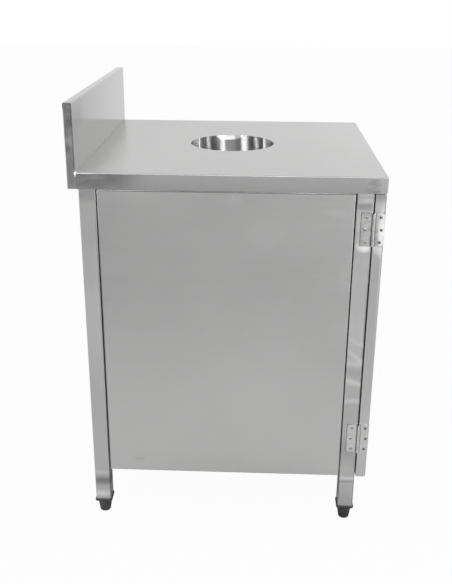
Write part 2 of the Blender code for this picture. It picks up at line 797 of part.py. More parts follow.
def add_hinges(cabinet, door):
    """Two butt hinges, with the leg leaves and pins on the cabinet and the door leaves on the door."""
    half = HINGE_HEIGHT / 2
    middle = HINGE_MIDDLE_KNUCKLE / 2
    end = middle + HINGE_KNUCKLE_GAP
    outward = (0.0, -math.pi / 2, 0.0)
    head_x = BARREL_RADIUS - HINGE_LEAF_SHEET - SEAT
    for hinge, level in HINGE_HEIGHTS.items():
        axis = Vector((HINGE_X, HINGE_Y, level))
        leg_leaf = leaf_shape(1, HINGE_LEG_LEAF_REACH, [(-middle, middle)])
        door_leaf = leaf_shape(-1, HINGE_DOOR_LEAF_REACH, [(-half, -end), (end, half)])
        add_piece(f"{hinge}_hinge_leg_leaf", leg_leaf, "bright", cabinet, axis)
        add_piece(f"{hinge}_hinge_pin", pin_shape(), "bright", cabinet, axis)
        add_piece(f"{hinge}_hinge_door_leaf", door_leaf, "bright", door, axis - door.location)
        for number, (reach, z) in enumerate(rivet_places(), 1):
            leg_place = axis + Vector((head_x, reach, z))
            door_place = axis + Vector((head_x, -reach, z)) - door.location
            leg_rivet = rivet_shape(LEG_WALL)
            door_rivet = rivet_shape(2 * SHEET + SEAT)
            add_piece(f"{hinge}_leg_rivet_{number}", leg_rivet, "bright", cabinet, leg_place, outward)
            add_piece(f"{hinge}_door_rivet_{number}", door_rivet, "bright", door, door_place, outward)


# Door, handle and catch


def handle_screw_places():
    """The two handle screws, as (X, Z)."""
    return [(HANDLE_X, HANDLE_Z - HANDLE_CENTRES / 2), (HANDLE_X, HANDLE_Z + HANDLE_CENTRES / 2)]


def drilled_for_rivets(skin):
    """A door skin with the holes of the hinge rivets in its left-hand return."""
    places = [(HINGE_Y - reach, z) for reach, z in all_rivet_places()]
    outside = -SIDE_FACE - OVERCUT
    inside = -SIDE_FACE + 2 * SHEET + OVERCUT
    return drilled(skin, 0, places, RIVET_SHANK_DIAMETER + 2 * SEAT, outside, inside)


def door_outer_shape():
    """The outer skin: a pan open to the rear, drilled for the hinges and the handle."""
    low = (-SIDE_FACE, DOOR_FRONT, DOOR_BOTTOM)
    high = (SIDE_FACE, DOOR_REAR, DOOR_TOP)
    skin = pan(low, high, 1, 1, DOOR_BEND_INSIDE)
    skin = drilled_for_rivets(skin)
    hole = SCREW_DIAMETER + 2 * SEAT
    return drilled(skin, 1, handle_screw_places(), hole, DOOR_FRONT - OVERCUT, DOOR_REAR)


def door_inner_shape():
    """The inner skin: a shallow pan set into the outer one, with its face to the rear."""
    inset = SHEET + SEAT
    low = (-SIDE_FACE + inset, DOOR_REAR - INNER_SKIN_RETURN, DOOR_BOTTOM + inset)
    high = (SIDE_FACE - inset, DOOR_REAR, DOOR_TOP - inset)
    skin = drilled_for_rivets(pan(low, high, 1, -1))
    hole = SCREW_DIAMETER + 2 * SEAT
    return drilled(skin, 1, handle_screw_places(), hole, DOOR_FRONT, DOOR_REAR + OVERCUT)


def handle_shape():
    """A bow handle of round rod, with a blind hole for a screw in each end."""
    half = HANDLE_CENTRES / 2
    foot = DOOR_FRONT - SEAT
    line = DOOR_FRONT - HANDLE_PROJECTION + HANDLE_ROD_DIAMETER / 2
    path = [(foot, -half)]
    for centre_z, start in ((-half + HANDLE_BEND, -math.pi / 2), (half - HANDLE_BEND, math.pi)):
        for step in range(ROD_BEND_STEPS + 1):
            angle = start - math.pi / 2 * step / ROD_BEND_STEPS
            y = line + HANDLE_BEND + HANDLE_BEND * math.cos(angle)
            path.append((y, centre_z + HANDLE_BEND * math.sin(angle)))
    path.append((foot, half))
    rod = swept_rod(path, HANDLE_ROD_DIAMETER / 2, ROD_SIDES)
    hole = SCREW_DIAMETER + 2 * SEAT
    return drilled(rod, 1, [(0, -half), (0, half)], hole, foot - SCREW_GRIP - SEAT, DOOR_REAR)


def screw_shape():
    """A pan-head screw along Z: its head stands on Z = 0 and its shank runs down through the door."""
    head = SCREW_HEAD_DIAMETER / 2
    shank = SCREW_DIAMETER / 2
    length = DOOR_DEPTH + 2 * SEAT + SCREW_GRIP - SEAT
    profile = [
        (0.0, -length),
        (shank, -length),
        (shank, 0.0),
        (head, 0.0),
        (head, SCREW_HEAD_HEIGHT / 2),
        (head / 2, SCREW_HEAD_HEIGHT),
        (0.0, SCREW_HEAD_HEIGHT),
    ]
    return turned_body(profile, STUD_SIDES)


def catch_housing_shape():
    """The catch: a drilled base plate under the rail and a body with a pocket for the magnet."""
    half_base = CATCH_BASE_WIDTH / 2
    half = CATCH_WIDTH / 2
    front = CATCH_FRONT
    rear = front + CATCH_DEPTH
    base_bottom = CATCH_TOP - CATCH_BASE_HEIGHT
    base = prism(rectangle((-half_base, front), (half_base, rear), CATCH_CORNER), 2, base_bottom, CATCH_TOP)
    ear = (half + half_base) / 2
    holes = [(-ear, front + CATCH_DEPTH / 2), (ear, front + CATCH_DEPTH / 2)]
    base = drilled(base, 2, holes, CATCH_HOLE_DIAMETER, base_bottom - OVERCUT, CATCH_TOP + OVERCUT)
    body = prism(
        rectangle((-half, front), (half, rear), CATCH_CORNER),
        2,
        CATCH_TOP - CATCH_HEIGHT,
        CATCH_TOP - CATCH_BASE_HEIGHT / 2,
    )
    pocket_low = (-MAGNET_WIDTH / 2 - SEAT, front - OVERCUT, magnet_bottom() - SEAT)
    pocket_high = (
        MAGNET_WIDTH / 2 + SEAT,
        front - MAGNET_PROUD + MAGNET_DEPTH + SEAT,
        magnet_bottom() + MAGNET_HEIGHT + SEAT,
    )
    return cut(joined(base, body), box(pocket_low, pocket_high))


def magnet_bottom():
    """The magnet lies halfway up the part of the body that is below the base plate."""
    middle = CATCH_TOP - (CATCH_BASE_HEIGHT + CATCH_HEIGHT) / 2
    return middle - MAGNET_HEIGHT / 2


def magnet_shape():
    """The magnet block between its pole plates, a little proud of the housing."""
    front = CATCH_FRONT - MAGNET_PROUD
    low = (-MAGNET_WIDTH / 2, front, magnet_bottom())
    high = (MAGNET_WIDTH / 2, front + MAGNET_DEPTH, magnet_bottom() + MAGNET_HEIGHT)
    return box(low, high)


def striker_shape():
    """The steel plate on the door that the magnet holds."""
    middle = magnet_bottom() + MAGNET_HEIGHT / 2
    low = (-STRIKER_WIDTH / 2, middle - STRIKER_HEIGHT / 2)
    high = (STRIKER_WIDTH / 2, middle + STRIKER_HEIGHT / 2)
    near = DOOR_REAR + SEAT
    plate = prism(rectangle(low, high, STRIKER_CORNER), 1, near, near + STRIKER_SHEET)
    return drilled(plate, 1, [(0, middle)], STRIKER_HOLE_DIAMETER, DOOR_REAR, near + OVERCUT)


def add_door(door):
    """The door with its two skins, handle, screws and striker, all on the empty at the hinge axis."""
    home = -door.location
    inward = (-math.pi / 2, 0.0, 0.0)
    add_piece("door_outer_skin", door_outer_shape(), "brushed", door, home)
    add_piece("door_inner_skin", door_inner_shape(), "brushed", door, home)
    add_piece("door_handle", handle_shape(), "bright", door, home + Vector((HANDLE_X, 0, HANDLE_Z)))
    for name, (x, z) in zip(("lower", "upper"), handle_screw_places()):
        place = home + Vector((x, DOOR_REAR + SEAT, z))
        add_piece(f"handle_screw_{name}", screw_shape(), "bright", door, place, inward)
    add_piece("catch_striker", striker_shape(), "bright", door, home + Vector((CATCH_X, 0, 0)))


def add_catch(cabinet):
    """The half of the catch that stays on the cabinet."""
    add_piece("catch_housing", catch_housing_shape(), "grey_plastic", cabinet, (CATCH_X, 0, 0))
    add_piece("catch_magnet", magnet_shape(), "magnet", cabinet, (CATCH_X, 0, 0))


def main():
    clear_scene()
    cabinet = add_empty("cabinet", None, FRAME_SHIFT)
    door = add_empty("door_axis", cabinet, (HINGE_X, HINGE_Y, 0.0))
    add_worktop(cabinet)
    add_legs(cabinet)
    add_panels(cabinet)
    add_shelf_and_rails(cabinet)
    add_hinges(cabinet, door)
    add_door(door)
    add_catch(cabinet)


if __name__ == "__main__":
    main()
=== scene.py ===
"""Looks of the stainless waste bin cabinet: stage, steel and plastic finishes, and small fasteners.

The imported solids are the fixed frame. Metres, +Z up, the door at -Y and the upstand at +Y.
"""

import json
import math

import bmesh
import bpy
from bpy.props import FloatProperty, FloatVectorProperty, IntProperty, PointerProperty
from mathutils import Matrix, Vector


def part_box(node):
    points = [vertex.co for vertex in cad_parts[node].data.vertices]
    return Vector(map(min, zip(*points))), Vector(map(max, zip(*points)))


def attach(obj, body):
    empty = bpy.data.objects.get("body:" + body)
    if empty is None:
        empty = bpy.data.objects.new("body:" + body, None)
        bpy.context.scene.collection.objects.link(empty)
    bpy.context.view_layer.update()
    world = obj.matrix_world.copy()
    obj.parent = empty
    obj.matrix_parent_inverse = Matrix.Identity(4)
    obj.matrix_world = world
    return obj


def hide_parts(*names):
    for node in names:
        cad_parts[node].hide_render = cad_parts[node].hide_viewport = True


bl_info = {
    "name": "Waste bin cabinet",
    "version": (1, 0, 0),
    "blender": (4, 5, 0),
    "location": "3D View > Sidebar > Cabinet",
    "description": "Stage, finishes and small fasteners of a stainless waste bin cabinet",
    "category": "Object",
}

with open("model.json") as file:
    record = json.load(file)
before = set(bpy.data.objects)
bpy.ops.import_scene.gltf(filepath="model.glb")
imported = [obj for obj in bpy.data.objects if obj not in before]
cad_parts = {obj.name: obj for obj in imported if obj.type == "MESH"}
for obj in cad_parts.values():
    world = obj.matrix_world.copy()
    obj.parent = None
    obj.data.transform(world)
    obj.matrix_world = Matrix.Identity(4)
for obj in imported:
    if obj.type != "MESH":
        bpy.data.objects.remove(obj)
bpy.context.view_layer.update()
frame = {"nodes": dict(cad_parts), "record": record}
BODIES = frame["record"]["behaviour"]["bodies"]
BODY_OF = {node: body for body, nodes in BODIES.items() for node in nodes}


def box_size(node):
    """How large a node is along X, Y and Z."""
    low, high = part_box(node)
    return high - low


def box_middle(node):
    """The middle of a node."""
    low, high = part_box(node)
    return (low + high) / 2


# Which finish each piece of the frame gets
FINISH_OF = {
    "worktop": "worktop",
    "upstand_end_cap_left": "end_cap",
    "upstand_end_cap_right": "end_cap",
    "chute_collar": "chute",
    "side_panel_left": "side_sheet",
    "side_panel_right": "side_sheet",
    "bottom_shelf": "side_sheet",
    "back_panel": "cross_sheet",
    "door_outer_skin": "door_sheet",
    "door_inner_skin": "door_sheet",
    "front_rail": "cross_sheet",
    "rear_rail": "cross_sheet",
    "shelf_stiffener": "cross_sheet",
    "worktop_stiffener_front": "cross_sheet",
    "worktop_stiffener_rear": "cross_sheet",
    "door_handle": "handle",
    "catch_striker": "hinge",
    "catch_housing": "grey_plastic",
    "catch_magnet": "magnet",
}
CORNERS = ("front_left", "front_right", "rear_left", "rear_right")
HINGES = ("upper", "lower")
REAR_FEET = ("foot_rear_left", "foot_rear_right")
for corner in CORNERS:
    FINISH_OF[f"leg_{corner}"] = "leg"
    FINISH_OF[f"leg_insert_{corner}"] = "black_plastic"
    FINISH_OF[f"foot_{corner}"] = "black_plastic"
for hinge in HINGES:
    for part in ("leg_leaf", "door_leaf", "pin"):
        FINISH_OF[f"{hinge}_hinge_{part}"] = "hinge"
LEG_RIVETS = [f"{hinge}_leg_rivet_{number}" for hinge in HINGES for number in (1, 2, 3)]
DOOR_RIVETS = [f"{hinge}_door_rivet_{number}" for hinge in HINGES for number in (1, 2, 3)]
RIVET_WIDTH = box_size(LEG_RIVETS[0]).y
HANDLE_SCREWS = ["handle_screw_lower", "handle_screw_upper"]

# How meshes are merged and shaded
SMOOTH_ANGLE = math.radians(40)
SAME_PLACE = 1e-6
SAME_LEVEL = 1e-4
MERGE_DISTANCE = 2e-6
# The fold under the upstand: its radius, its steps and the least length of its edge
FOLD_RADIUS = 0.0018
FOLD_STEPS = 4
FOLD_LENGTH = 0.5
# How far the upstand's end caps are set back behind its face
CAP_SETBACK = 0.0013

# Places that several finishes share
TOP_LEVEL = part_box("chute_collar")[1].z
LEFT_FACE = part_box("side_panel_left")[0].x
CAP_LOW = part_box("upstand_end_cap_left")[0]
# Streaks in a metre along X, Y and Z: few the way the steel was brushed, and many across it
SIDE_GRAIN = (2400.0, 12.0, 2400.0)
CROSS_GRAIN = (12.0, 2400.0, 2400.0)
DOOR_GRAIN = (2400.0, 2400.0, 12.0)
LEG_GRAIN = (1600.0, 1600.0, 9.0)
CAP_GRAIN = (500.0, 20.0, 500.0)
# Heights of bumps
STREAK_HEIGHT = 2e-6
CLOUD_HEIGHT = 0.00005
CHUTE_CLOUD_HEIGHT = 0.000004
SKIRT_WAVE_HEIGHT = 0.00003
LEG_WAVE_HEIGHT = 0.0003
PEBBLE_HEIGHT = 0.0001
FERRITE_HEIGHT = 0.00002

# How far each hinge pulls the door's edge in, and hollows and swells the leg below and above itself
DOOR_PULL = {"upper": 0.0032, "lower": 0.0012}
LEG_HOLLOW = {"upper": 0.0019, "lower": 0.0012}
LEG_SWELLING = {"upper": 0.0004, "lower": 0.0003}
# The painted shade line round a hinge leaf: its width, how deep it reaches in X and how strong it is
LEAF_LINE_WIDTH = 0.0022
LEAF_LINE_REACH = 0.02
LEAF_LINE_SHARE = 0.75
# Ground ends of the worktop's skirts: where along Y, how far the patch reaches and how light it is
SKIRT_PATCHES = ((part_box("worktop")[0].y, 0.055, 0.86), (CAP_LOW.y, 0.070, 0.92))
# Bands of painted light and shade on the legs: level, half height and how light they are
REAR_LEG_LIGHT_BANDS = ((0.122, 0.008, 1.02), (0.097, 0.021, 0.36), (0.058, 0.016, 1.40))
FRONT_LEG_LIGHT_BANDS = (
    (0.826, 0.032, 0.93),
    (0.207, 0.060, 0.70),
    (0.124, 0.008, 1.25),
    (0.114, 0.005, 0.66),
)
# Lighter and darker bands on the upstand's ends: level, half height and how light they are
END_CAP_BANDS = ((1.029, 0.016, 1.16), (0.975, 0.026, 0.80), (0.862, 0.022, 0.86))
# Painted reflections of soft creases in the left front leg: level, slope, half height and how light they are
LEG_CREASE_REFLECTIONS = (
    (0.494, 0.50, 0.011, 1.38),
    (0.457, 0.70, 0.011, 1.30),
    (0.440, 0.00, 0.016, 1.24),
    (0.415, 0.10, 0.020, 0.86),
    (0.390, 0.33, 0.014, 1.28),
    (0.340, 0.00, 0.011, 1.24),
)
# Painted shade on the edge of each left leg towards the door: how light it is
LEG_EDGES = {"leg_front_left": 0.62, "leg_rear_left": 0.80}

# Screws: head diameter, head height, shank diameter and shank length
SCREW_SIZES = {
    "handle_screws": (box_size(HANDLE_SCREWS[0]).x, 0.0024, 0.004, 0.034),
    "catch_screws": (0.0062, 0.0018, 0.0033, 0.0075),
    "striker_screw": (0.0062, 0.0003, 0.0036, 0.0011),
}
# The ears of the catch's housing: how far in their screws are, and how thick the ears are
EAR_INSET = 0.005
EAR_THICKNESS = 0.002
# A corner weld: its path in steps inward from the worktop's side and up from its top, and
# how far it lies in front of the seam
WELD_PATH = ((0.0002, -0.010), (0.0001, -0.004), (0.0008, -0.0012), (0.004, 0.0), (0.011, 0.0004))
WELD_FORWARD = 0.0006

# Cards that the steel reflects: centre, width, height, the way that each faces and its level
CARDS = {
    "grey_card": ((-3.4, 1.41, 0.50), 1.4, 0.80, (1.0, 0.0), 0.18),
    "white_card": ((2.4, 0.52, 0.45), 1.36, 0.86, (-1.0, 0.0), 0.9),
    "door_card": ((-1.55, -1.45, 0.23), 1.2, 0.44, (1.0, 0.65), 1.7),
    "low_card": ((-4.6, -0.9, 0.75), 2.2, 1.2, (1.0, 0.2), 1.15),
    "ceiling_card": ((-3.1, -1.1, 2.55), 3.5, 1.1, (1.0, 0.36), 4.5),
}
# Windows round the chute, which throw its upright bands: turn in degrees, width and level
WINDOWS = (
    (29.7, 0.72, 26.0),
    (-37.0, 1.00, 21.0),
    (108.0, 0.42, 18.0),
    (-97.7, 0.42, 9.0),
)
WINDOW_DISTANCE = 3.0
WINDOW_LEVEL = 2.2
WINDOW_HEIGHT = 1.2
# Soft lamps: place, width, height and brightness; all are turned to one point
SOFTBOXES = {
    "left_softbox": ((-2.6, 2.0, 2.8), 0.8, 1.4, 2.6),
    "right_softbox": ((-2.9, -1.6, 2.8), 0.8, 1.4, 2.6),
    "far_softbox": ((2.4, -0.6, 3.0), 1.2, 1.2, 1.6),
}
SOFTBOX_AIM = (0.0, 0.0, 0.9)
SENSOR_WIDTH = 36.0
WHITE = (1.0, 1.0, 1.0, 1.0)
BLACK = (0.0, 0.0, 0.0, 1.0)
PAPER_ROUGHNESS = 0.9


# Settings


class CabinetStageSettings(bpy.types.PropertyGroup):
    """Camera, floor and lamps."""

    camera_place: FloatVectorProperty(
        name="Camera place",
        description="Where the camera stands",
        default=(-2.1094, -0.0535, 1.2955),
        subtype="TRANSLATION",
        unit="LENGTH",
    )
    camera_forward: FloatVectorProperty(
        name="Camera direction",
        description="The way the camera looks",
        default=(0.9320, 0.0363, -0.3607),
        subtype="DIRECTION",
    )
    camera_right: FloatVectorProperty(
        name="Camera right",
        description="The way that the image's right-hand side points",
        default=(0.0413, -0.9991, 0.0063),
        subtype="DIRECTION",
    )
    lens: FloatProperty(
        name="Lens",
        description="Focal length for a 36 mm sensor",
        default=51.05,
        unit="CAMERA",
    )
    floor_colour: FloatVectorProperty(
        name="Floor colour",
        description="Paper that the cabinet stands on",
        default=(0.85, 0.85, 0.85),
        subtype="COLOR",
    )
    floor_reach: FloatProperty(
        name="Floor reach",
        description="How far the floor runs from the cabinet",
        default=14.0,
        unit="LENGTH",
    )
    room_light: FloatProperty(
        name="Room light",
        description="Soft light from all round",
        default=0.65,
    )


class CabinetFinishSettings(bpy.types.PropertyGroup):
    """Colours of the steel and the plastic."""

    sheet_colour: FloatVectorProperty(
        name="Sheet",
        description="Fine brushed panels and door",
        default=(0.548, 0.548, 0.545),
        subtype="COLOR",
    )
    worktop_colour: FloatVectorProperty(
        name="Worktop",
        description="Worktop, skirts and upstand",
        default=(0.53, 0.53, 0.527),
        subtype="COLOR",
    )
    leg_colour: FloatVectorProperty(
        name="Legs",
        description="Square tube",
        default=(0.578, 0.578, 0.575),
        subtype="COLOR",
    )
    bright_colour: FloatVectorProperty(
        name="Bright steel",
        description="Hinges, chute, handle and fasteners",
        default=(0.62, 0.62, 0.617),
        subtype="COLOR",
    )
    black_colour: FloatVectorProperty(
        name="Black plastic",
        description="Feet and leg inserts",
        default=(0.035, 0.035, 0.036),
        subtype="COLOR",
    )
    grey_colour: FloatVectorProperty(
        name="Grey plastic",
        description="Catch housing",
        default=(0.42, 0.42, 0.41),
        subtype="COLOR",
    )
    weld_colour: FloatVectorProperty(
        name="Welds",
        description="Bare bright metal of the corner welds",
        default=(0.82, 0.82, 0.81),
        subtype="COLOR",
    )
    # Painted shade: the rivet heads are far darker than steel, for the dark things that they reflect
    rivet_colour: FloatVectorProperty(
        name="Rivets",
        description="Dull heads of the hinge rivets",
        default=(0.15, 0.15, 0.148),
        subtype="COLOR",
    )


class CabinetRivetSettings(bpy.types.PropertyGroup):
    """Blind rivets of the hinges."""

    head_diameter: FloatProperty(
        name="Head diameter",
        description="Width of the domed head",
        default=RIVET_WIDTH,
        unit="LENGTH",
    )
    head_height: FloatProperty(
        name="Head height",
        description="How far the head stands off the leaf",
        default=0.0014,
        unit="LENGTH",
    )
    shank_diameter: FloatProperty(
        name="Shank diameter",
        description="Body of the rivet in its hole",
        default=0.0032,
        unit="LENGTH",
    )
    mandrel_diameter: FloatProperty(
        name="Mandrel hole",
        description="Hole in the head where the mandrel broke off",
        default=0.0024,
        unit="LENGTH",
    )
    sides: IntProperty(name="Sides", description="Points round one rivet", default=20, min=8)


class CabinetStudSettings(bpy.types.PropertyGroup):
    """Threaded studs of the levelling feet."""

    pitch: FloatProperty(
        name="Pitch",
        description="Rise of the thread in one turn",
        default=0.0015,
        unit="LENGTH",
    )
    thread_depth: FloatProperty(
        name="Thread depth",
        description="From the crest of the thread to its root",
        default=0.0009,
        unit="LENGTH",
    )
    chamfer: FloatProperty(
        name="Chamfer",
        description="Lead-in at both ends",
        default=0.0015,
        unit="LENGTH",
    )
    sides: IntProperty(name="Sides", description="Points round one stud", default=24, min=8)
    rings_per_turn: IntProperty(name="Rings", description="Rings in one turn of the thread", default=6, min=4)


class CabinetScrewSettings(bpy.types.PropertyGroup):
    """Pan head screws of the handle and the catch."""

    recess_width: FloatProperty(
        name="Recess width",
        description="Width of each slot of the cross",
        default=0.0012,
        unit="LENGTH",
    )
    recess_share: FloatProperty(
        name="Recess reach",
        description="Length of the cross as a share of the head",
        default=0.58,
        subtype="FACTOR",
    )
    recess_depth_share: FloatProperty(
        name="Recess depth",
        description="Depth of the cross as a share of the head's height",
        default=0.65,
        subtype="FACTOR",
    )
    seed: IntProperty(name="Seed", description="Sets how far each screw happens to be turned", default=7)
    sides: IntProperty(name="Sides", description="Points round one screw", default=28, min=8)


class CabinetWeldSettings(bpy.types.PropertyGroup):
    """Short welds where the upstand meets the worktop's skirts."""

    bead_radius: FloatProperty(
        name="Bead radius",
        description="Half the width of the bead",
        default=0.0030,
        unit="LENGTH",
    )
    ripple_length: FloatProperty(
        name="Ripple length",
        description="Distance from one ripple of the bead to the next",
        default=0.0022,
        unit="LENGTH",
    )
    ripple_share: FloatProperty(
        name="Ripple",
        description="How far the ripples narrow the bead",
        default=0.22,
        subtype="FACTOR",
    )
    unevenness: FloatProperty(
        name="Unevenness",
        description="How far the bead wanders in width",
        default=0.5,
        subtype="FACTOR",
    )


# Node helpers

ORIGIN = (0.0, 0.0, 0.0)
SOCKET_KINDS = {float: "NodeSocketFloat", int: "NodeSocketInt", tuple: "NodeSocketVector"}


def fill(tree, socket, value):
    """Links a socket to an output, or gives it a plain value."""
    if isinstance(value, bpy.types.NodeSocket):
        tree.links.new(value, socket)
    else:
        socket.default_value = value


def add_node(tree, kind, inputs=None, **settings):
    """A node with its settings; each input is a plain value or an output to link."""
    node = tree.nodes.new(kind)
    for name, value in settings.items():
        setattr(node, name, value)
    for name, value in (inputs or {}).items():
        fill(tree, node.inputs[name], value)
    return node


def math_node(tree, operation, *values):
    """The output of a math node on one to three values."""
    return add_node(tree, "ShaderNodeMath", dict(enumerate(values)), operation=operation).outputs[0]


def vector_node(tree, operation, *values):
    """The outputs of a vector math node on one or two values."""
    return add_node(tree, "ShaderNodeVectorMath", dict(enumerate(values)), operation=operation).outputs


def joined(tree, operation, values):
    """Several values joined by one math operation, from the first to the last."""
    result, *others = values
    for value in others:
        result = math_node(tree, operation, result, value)
    return result


def product(tree, *values):
    """Several values multiplied."""
    return joined(tree, "MULTIPLY", values)


def sum_of(tree, *values):
    """Several values added up."""
    return joined(tree, "ADD", values)


def difference(tree, first, second):
    """One value less another."""
    return math_node(tree, "SUBTRACT", first, second)


def distance_from(tree, value, middle):
    """How far a value is from a middle, to either side."""
    return math_node(tree, "ABSOLUTE", difference(tree, value, middle))


def ramp(tree, value, low, high, to_low=0.0, to_high=1.0):
    """A value drawn smoothly from one range to another."""
    inputs = {"Value": value, "From Min": low, "From Max": high, "To Min": to_low, "To Max": to_high}
    return add_node(tree, "ShaderNodeMapRange", inputs, interpolation_type="SMOOTHSTEP").outputs["Result"]


def mix_values(tree, factor, first, second):
    """Two numbers mixed by a factor."""
    inputs = {0: factor, 2: first, 3: second}
    return add_node(tree, "ShaderNodeMix", inputs, data_type="FLOAT").outputs[0]


def blend(tree, factor, first, second):
    """Two colours mixed by a factor."""
    inputs = {0: factor, 6: first, 7: second}
    return add_node(tree, "ShaderNodeMix", inputs, data_type="RGBA").outputs[2]


def vector_of(tree, x=0.0, y=0.0, z=0.0):
    """Three values as one vector."""
    return add_node(tree, "ShaderNodeCombineXYZ", {0: x, 1: y, 2: z}).outputs[0]


def axes_of(tree, place):
    """A place as its X, Y and Z."""
    return add_node(tree, "ShaderNodeSeparateXYZ", {0: place}).outputs


def object_place(tree):
    """The place of a point in the cabinet's frame."""
    return add_node(tree, "ShaderNodeTexCoord").outputs["Object"]


def noise(tree, place, scale, detail, roughness=0.5, distortion=0.0):
    """Soft noise at a place."""
    inputs = {"Vector": place, "Scale": scale, "Detail": detail}
    inputs.update({"Roughness": roughness, "Distortion": distortion})
    return add_node(tree, "ShaderNodeTexNoise", inputs).outputs["Fac"]


def add_inputs(tree, inputs):
    """Named inputs of a group, each with its default."""
    for name, value in inputs.items():
        socket = tree.interface.new_socket(name, in_out="INPUT", socket_type=SOCKET_KINDS[type(value)])
        socket.default_value = value


def new_group(name, inputs, outputs):
    """An empty shader group; returns its tree, what comes in and the sockets to fill."""
    tree = bpy.data.node_groups.new(name, "ShaderNodeTree")
    add_inputs(tree, inputs)
    for socket in outputs:
        tree.interface.new_socket(socket, in_out="OUTPUT", socket_type="NodeSocketFloat")
    return tree, tree.nodes.new("NodeGroupInput").outputs, tree.nodes.new("NodeGroupOutput").inputs


def place_group(tree, name, **inputs):
    """A shader group placed in a material, with its own values; underscores stand for spaces."""
    node = add_node(tree, "ShaderNodeGroup", node_tree=bpy.data.node_groups[name])
    for socket, value in inputs.items():
        fill(tree, node.inputs[socket.replace("_", " ")], value)
    return node.outputs


# Effects that several finishes share


def make_grain_group():
    """Brushing lines: two widths of streaks, stretched along the way the sheet was brushed."""
    inputs = {"Fine Scale": (900.0, 6.0, 900.0), "Broad Share": 0.4}
    tree, ins, outs = new_group("Brushed grain", inputs, ["Streaks"])
    stretched = {"Vector": object_place(tree), "Scale": ins["Fine Scale"]}
    fine_place = add_node(tree, "ShaderNodeMapping", stretched).outputs[0]
    fine = noise(tree, fine_place, scale=1.0, detail=2.0)
    widened = {0: fine_place, "Scale": 0.13}
    broad_place = add_node(tree, "ShaderNodeVectorMath", widened, operation="SCALE").outputs[0]
    broad = noise(tree, broad_place, scale=1.0, detail=3.0)
    fill(tree, outs["Streaks"], mix_values(tree, ins["Broad Share"], fine, broad))


def make_cloud_group():
    """Soft cloudiness: the uneven polish and the wiped marks that sheet steel has."""
    inputs = {"Size": 5.0, "Stretch": (1.0, 1.0, 1.0)}
    tree, ins, outs = new_group("Cloudy polish", inputs, ["Clouds", "Smudges"])
    stretched = {"Vector": object_place(tree), "Scale": ins["Stretch"]}
    place = add_node(tree, "ShaderNodeMapping", stretched).outputs[0]
    clouds = noise(tree, place, scale=ins["Size"], detail=4.0, roughness=0.55)
    mark_scale = product(tree, ins["Size"], 2.6)
    marks = noise(tree, place, scale=mark_scale, detail=6.0, roughness=0.65, distortion=1.2)
    fill(tree, outs["Clouds"], clouds)
    fill(tree, outs["Smudges"], ramp(tree, marks, 0.56, 0.72))


def make_patch_group():
    """A patch round one point, as grinding a weld leaves it, with a ragged edge."""
    inputs = {"Centre": ORIGIN, "Radius": 0.03}
    tree, ins, outs = new_group("Ground patch", inputs, ["Patch"])
    place = object_place(tree)
    distance = vector_node(tree, "DISTANCE", place, ins["Centre"])["Value"]
    share = math_node(tree, "DIVIDE", distance, ins["Radius"])
    uneven = noise(tree, place, scale=60.0, detail=3.0)
    ragged = math_node(tree, "MULTIPLY_ADD", uneven, 0.8, -0.4)
    fill(tree, outs["Patch"], ramp(tree, sum_of(tree, share, ragged), 1.0, 0.55))


def make_dent_group():
    """A soft mask round one point, 1 at its middle and 0 at its rim, for hollows, stains and painted light
    and shade.
    """
    inputs = {"Centre": ORIGIN, "Spread": (0.02, 0.02, 0.02)}
    tree, ins, outs = new_group("Soft spot", inputs, ["Depth"])
    offset = vector_node(tree, "SUBTRACT", object_place(tree), ins["Centre"])[0]
    share = vector_node(tree, "DIVIDE", offset, ins["Spread"])[0]
    distance = vector_node(tree, "LENGTH", share)["Value"]
    fill(tree, outs["Depth"], ramp(tree, distance, 1.0, 0.0))


def make_seam_group():
    """A painted shade line round a plate that lies on the surface."""
    inputs = {"Centre": ORIGIN, "Half Size": (1.0, 0.01, 0.01), "Width": 0.002}
    tree, ins, outs = new_group("Seam shade line", inputs, ["Line"])
    offset = vector_node(tree, "SUBTRACT", object_place(tree), ins["Centre"])[0]
    away = vector_node(tree, "ABSOLUTE", offset)[0]
    past = vector_node(tree, "SUBTRACT", away, ins["Half Size"])[0]
    outside = vector_node(tree, "MAXIMUM", past, ORIGIN)[0]
    distance = vector_node(tree, "LENGTH", outside)["Value"]
    share = math_node(tree, "DIVIDE", distance, ins["Width"])
    fill(tree, outs["Line"], ramp(tree, share, 1.0, 0.25))


def make_moulded_group():
    """The fine pebbled skin of moulded plastic and the scuffs on it."""
    inputs = {"Grain": 900.0, "Scuff Size": 60.0}
    tree, ins, outs = new_group("Moulded skin", inputs, ["Pebbles", "Scuffs"])
    place = object_place(tree)
    cells = {"Vector": place, "Scale": ins["Grain"]}
    pebbles = add_node(tree, "ShaderNodeTexVoronoi", cells, feature="SMOOTH_F1").outputs["Distance"]
    scuffs = noise(tree, place, scale=ins["Scuff Size"], detail=5.0, roughness=0.7)
    fill(tree, outs["Pebbles"], pebbles)
    fill(tree, outs["Scuffs"], ramp(tree, scuffs, 0.5, 0.75))


# Finishes


def new_material(name):
    """A material with its tree and its shader."""
    material = bpy.data.materials.new(name)
    material.use_nodes = True
    tree = material.node_tree
    return material, tree, tree.nodes["Principled BSDF"]


def shade(colour, share):
    """A colour made darker or lighter, with its alpha."""
    return tuple(min(channel * share, 1.0) for channel in colour) + (1.0,)


def two_tones(tree, mask, colour, first, second):
    """A colour between two of its shades, by a mask."""
    return blend(tree, mask, shade(colour, first), shade(colour, second))


def marked(tree, tint, colour, *marks):
    """A tint with marks over it; each is a mask, and how light the colour is there."""
    for mask, share in marks:
        tint = blend(tree, mask, tint, shade(colour, share))
    return tint


def bump_normal(tree, height):
    """The normal that a height in metres gives."""
    inputs = {"Strength": 1.0, "Distance": 1.0, "Height": height}
    return add_node(tree, "ShaderNodeBump", inputs).outputs["Normal"]


